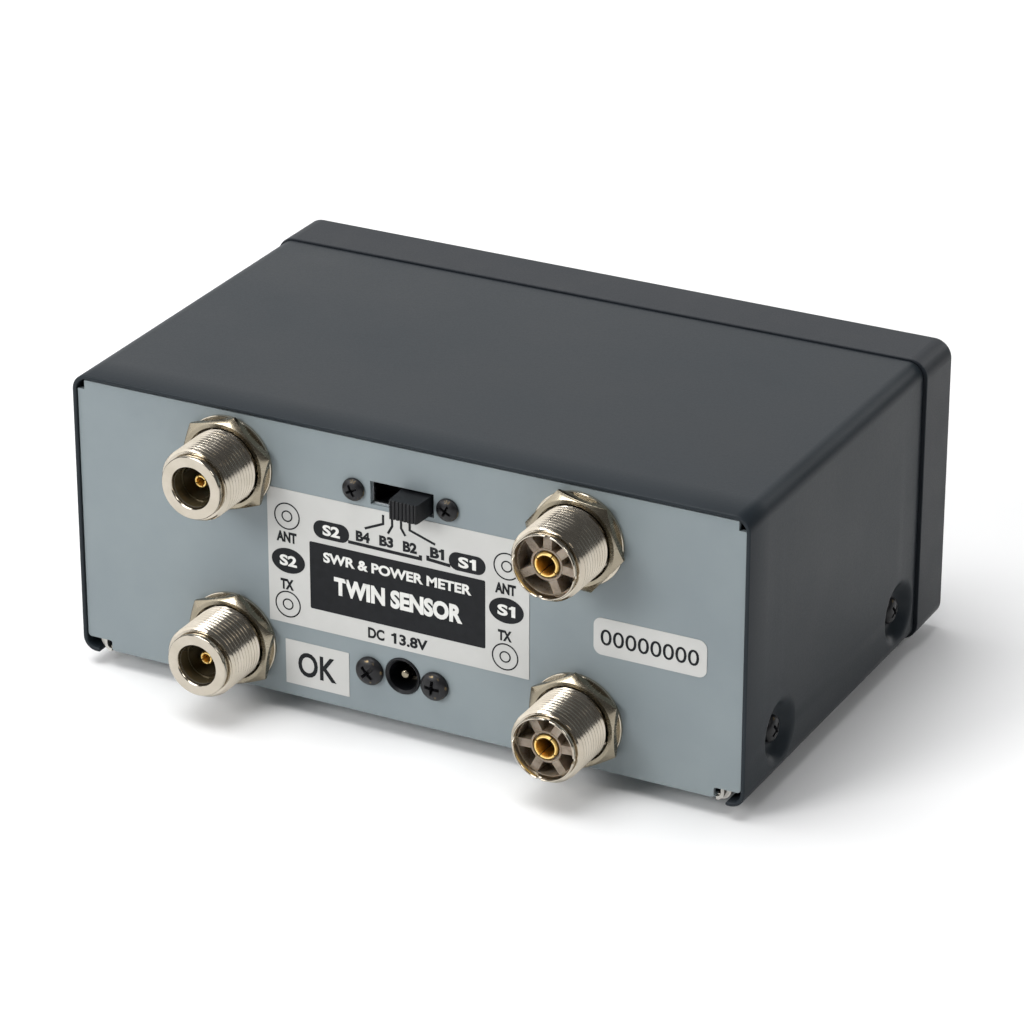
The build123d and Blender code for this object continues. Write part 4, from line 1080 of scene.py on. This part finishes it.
def make_calibration_knob():
    """A fluted knob with a dished face and a pointer line."""
    low, high = box_mm("cal_knob")
    x, z = front_middle("cal_knob")
    radius = (high.x - low.x) / 2
    depth = high.y - low.y
    shaft, socket, flutes = 3.0, 2.5, 30

    def section(angle):
        flute = 0.5 - 0.5 * math.cos(math.radians(angle * flutes))
        grip = radius - 0.42 * flute ** 2
        return [(shaft, 0.0), (radius - 0.6, 0.0), (radius - 0.2, 0.35), (radius - 0.2, 1.5), (grip, 1.9),
                (grip, depth - 1.6), (radius - 0.55, depth - 0.9), (radius - 0.9, depth - 0.3),
                (radius - 1.4, depth), (radius - 1.9, depth - 0.1), (radius - 2.3, depth - 0.45),
                (0.0, depth - 0.55), (0.0, depth - socket), (shaft, depth - socket)]

    bm = bmesh.new()
    lathe(bm, section, 360, closed=True)
    place = at(x, high.y, z, "front")
    piece("CalibrationKnob", bm, place, "knob_plastic", "cal_control", "cal_knob", sharp=40)
    line = bmesh.new()
    prism(line, rounded(0.8, 4.6, 0.3, 3, 0.0, 3.6), depth - 0.6, depth - 0.4)
    prism(line, rounded(0.8, 0.9, 0.3, 3, 0.0, 6.95), depth - 0.4, depth)
    piece("CalibrationLine", line, place, "knob_plastic", "cal_control", finish=white_ink)


def make_mode_button():
    """A round push button with a dished face, on a square stem."""
    low, high = box_mm("mode_button")
    x, z = front_middle("mode_button")
    radius = (high.x - low.x) / 2
    reach = bezel_front - low.y
    root = -7.0
    section = [(0.0, reach - 0.35), (1.4, reach - 0.28), (2.3, reach - 0.08), (2.7, reach),
               (3.0, reach - 0.05), (3.3, reach - 0.3), (radius, reach - 0.75), (radius, root), (0.0, root)]
    bm = bmesh.new()
    lathe(bm, section, 72)
    prism(bm, rounded(3.0, 3.0, 0.3, 2), bezel_front - high.y, root)
    place = at(x, bezel_front, z, "front")
    piece("ModeButton", bm, place, "knob_plastic", "mode_button", "mode_button", sharp=40)


def make_mode_spring():
    """A wire spring with closed ends behind the button."""
    low, high = box_mm("mode_spring")
    x, z = front_middle("mode_spring")
    wire, turns, closed_pitch, steps = 0.4, 6, 0.9, 36
    mean = (high.x - low.x) / 2 - wire
    length = high.y - low.y
    open_pitch = (length - 2 * wire - 2 * closed_pitch) / (turns - 2)
    rows = []
    for i in range(turns * steps + 1):
        turn = i / steps
        opened = min(max(turn - 1, 0), turns - 2)
        rise = wire + closed_pitch * (turn - opened) + open_pitch * opened
        c, s = math.cos(math.tau * turn), math.sin(math.tau * turn)
        rows.append([((mean + r) * c, (mean + r) * s, rise + h) for r, h in ellipse(0, 0, wire, wire, 10)])
    bm = bmesh.new()
    grid = skin(bm, rows)
    bm.faces.new(grid[0])
    bm.faces.new(grid[-1])
    place = at(x, low.y, z, "rear")
    spring = piece("ModeSpring", bm, place, "bare_steel", node="mode_spring", sharp=60)
    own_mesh(spring)


def front_print():
    """White lettering: a title over each lever's slot, and a mark for each of its positions."""
    bm = bmesh.new()
    slot_x, mark_pitch = 35.0, 5.6
    title_rise, mark_rise = 7.6, 4.3
    titles = {"range": ("RANGE", 9.0, ("5", "20", "200")),
              "function": ("FUNCTION", 13.6, ("CAL", "SWR", "POWER")),
              "power": ("POWER", 9.4, ("OFF", "FWD", "REF"))}
    for name, (title, width, marks) in titles.items():
        z = front_middle(f"{name}_lever")[1]
        lettering(bm, title, slot_x, z + title_rise, width, 1.9, 0.015)
        for step, text in zip((-1, 0, 1), marks):
            x = slot_x + step * mark_pitch
            lettering(bm, text, x, z + mark_rise, 1.05 * len(text), 1.35, 0.01)
    x, z = front_middle("cal_knob")
    lettering(bm, "CAL", x, z + 12.6, 5.4, 1.9, 0.015)
    for step in range(-5, 6):
        ends = [radial(step * 30.0, reach) for reach in (9.5, 10.7)]
        prism(bm, stroke([(x + across, z + up) for across, up in ends], 0.3), 0.0, INK)
    x, z = front_middle("mode_button")
    for side, text in ((-1, "AVG"), (1, "PEP")):
        lettering(bm, text, x + side * 4.2, z + 6.4, 4.4, 1.6, 0.015)
    piece("FrontPrint", bm, at(0, bezel_front, 0, "front"), "bezel_plastic", sharp=60, finish=white_ink)


make_cover()
make_feet()
make_screws()
make_connectors()
make_band_knob()
rear_print()
dial_print()
make_levers()
make_calibration_knob()
make_mode_button()
make_mode_spring()
front_print()


# ---- floor and light ----
def make_floor():
    bm = bmesh.new()
    bmesh.ops.create_grid(bm, x_segments=1, y_segments=1, size=6.0)
    mesh = as_mesh(bm, "Floor")
    paper = mottled("FloorPaper", (250, 250, 250), (248, 248, 248), 0.8, 20.0, 900.0, 0.01)
    mesh.materials.append(paper.material)
    floor = add_object("Floor", mesh)
    floor.location.z = cad_low.z - 0.0002


def softbox(name, place, aim, size, watts):
    data = bpy.data.lights.new(name, "AREA")
    data.shape = "RECTANGLE"
    data.size, data.size_y = size
    data.energy = watts
    lamp = add_object(name, data)
    lamp.location = place
    lamp.rotation_euler = (Vector(place) - Vector(aim)).to_track_quat("Z", "Y").to_euler()


make_floor()
softbox("TopSoftbox", (0.2, 0.15, 1.2), (0.0, 0.0, 0.03), (1.0, 0.8), 13.0)
softbox("RearSoftbox", (0.6, 1.1, 0.68), (0.0, 0.04, 0.03), (0.5, 0.5), 8.8)
softbox("FaceSoftbox", (-0.12, -1.15, 0.18), (0.0, 0.0, 0.04), (0.4, 0.28), 3.8)
softbox("RightSoftbox", (1.0, 0.45, 0.35), (0.0, 0.04, 0.03), (0.9, 0.9), 4.0)
softbox("CrestStrip", (-0.83, 0.13, 0.83), (0.0, 0.05, 0.03), (0.3, 0.3), 1.4)
softbox("FrontBackdrop", (0.62, -1.1, 0.6), (0.0, 0.0, 0.06), (1.3, 1.0), 4.1)
world = bpy.data.worlds.new("Studio")
world.use_nodes = True
world.node_tree.nodes["Background"].inputs["Color"].default_value = (0.95, 0.97, 1.0, 1.0)
world.node_tree.nodes["Background"].inputs["Strength"].default_value = 0.12
scene.world = world
scene.view_settings.view_transform = "Standard"
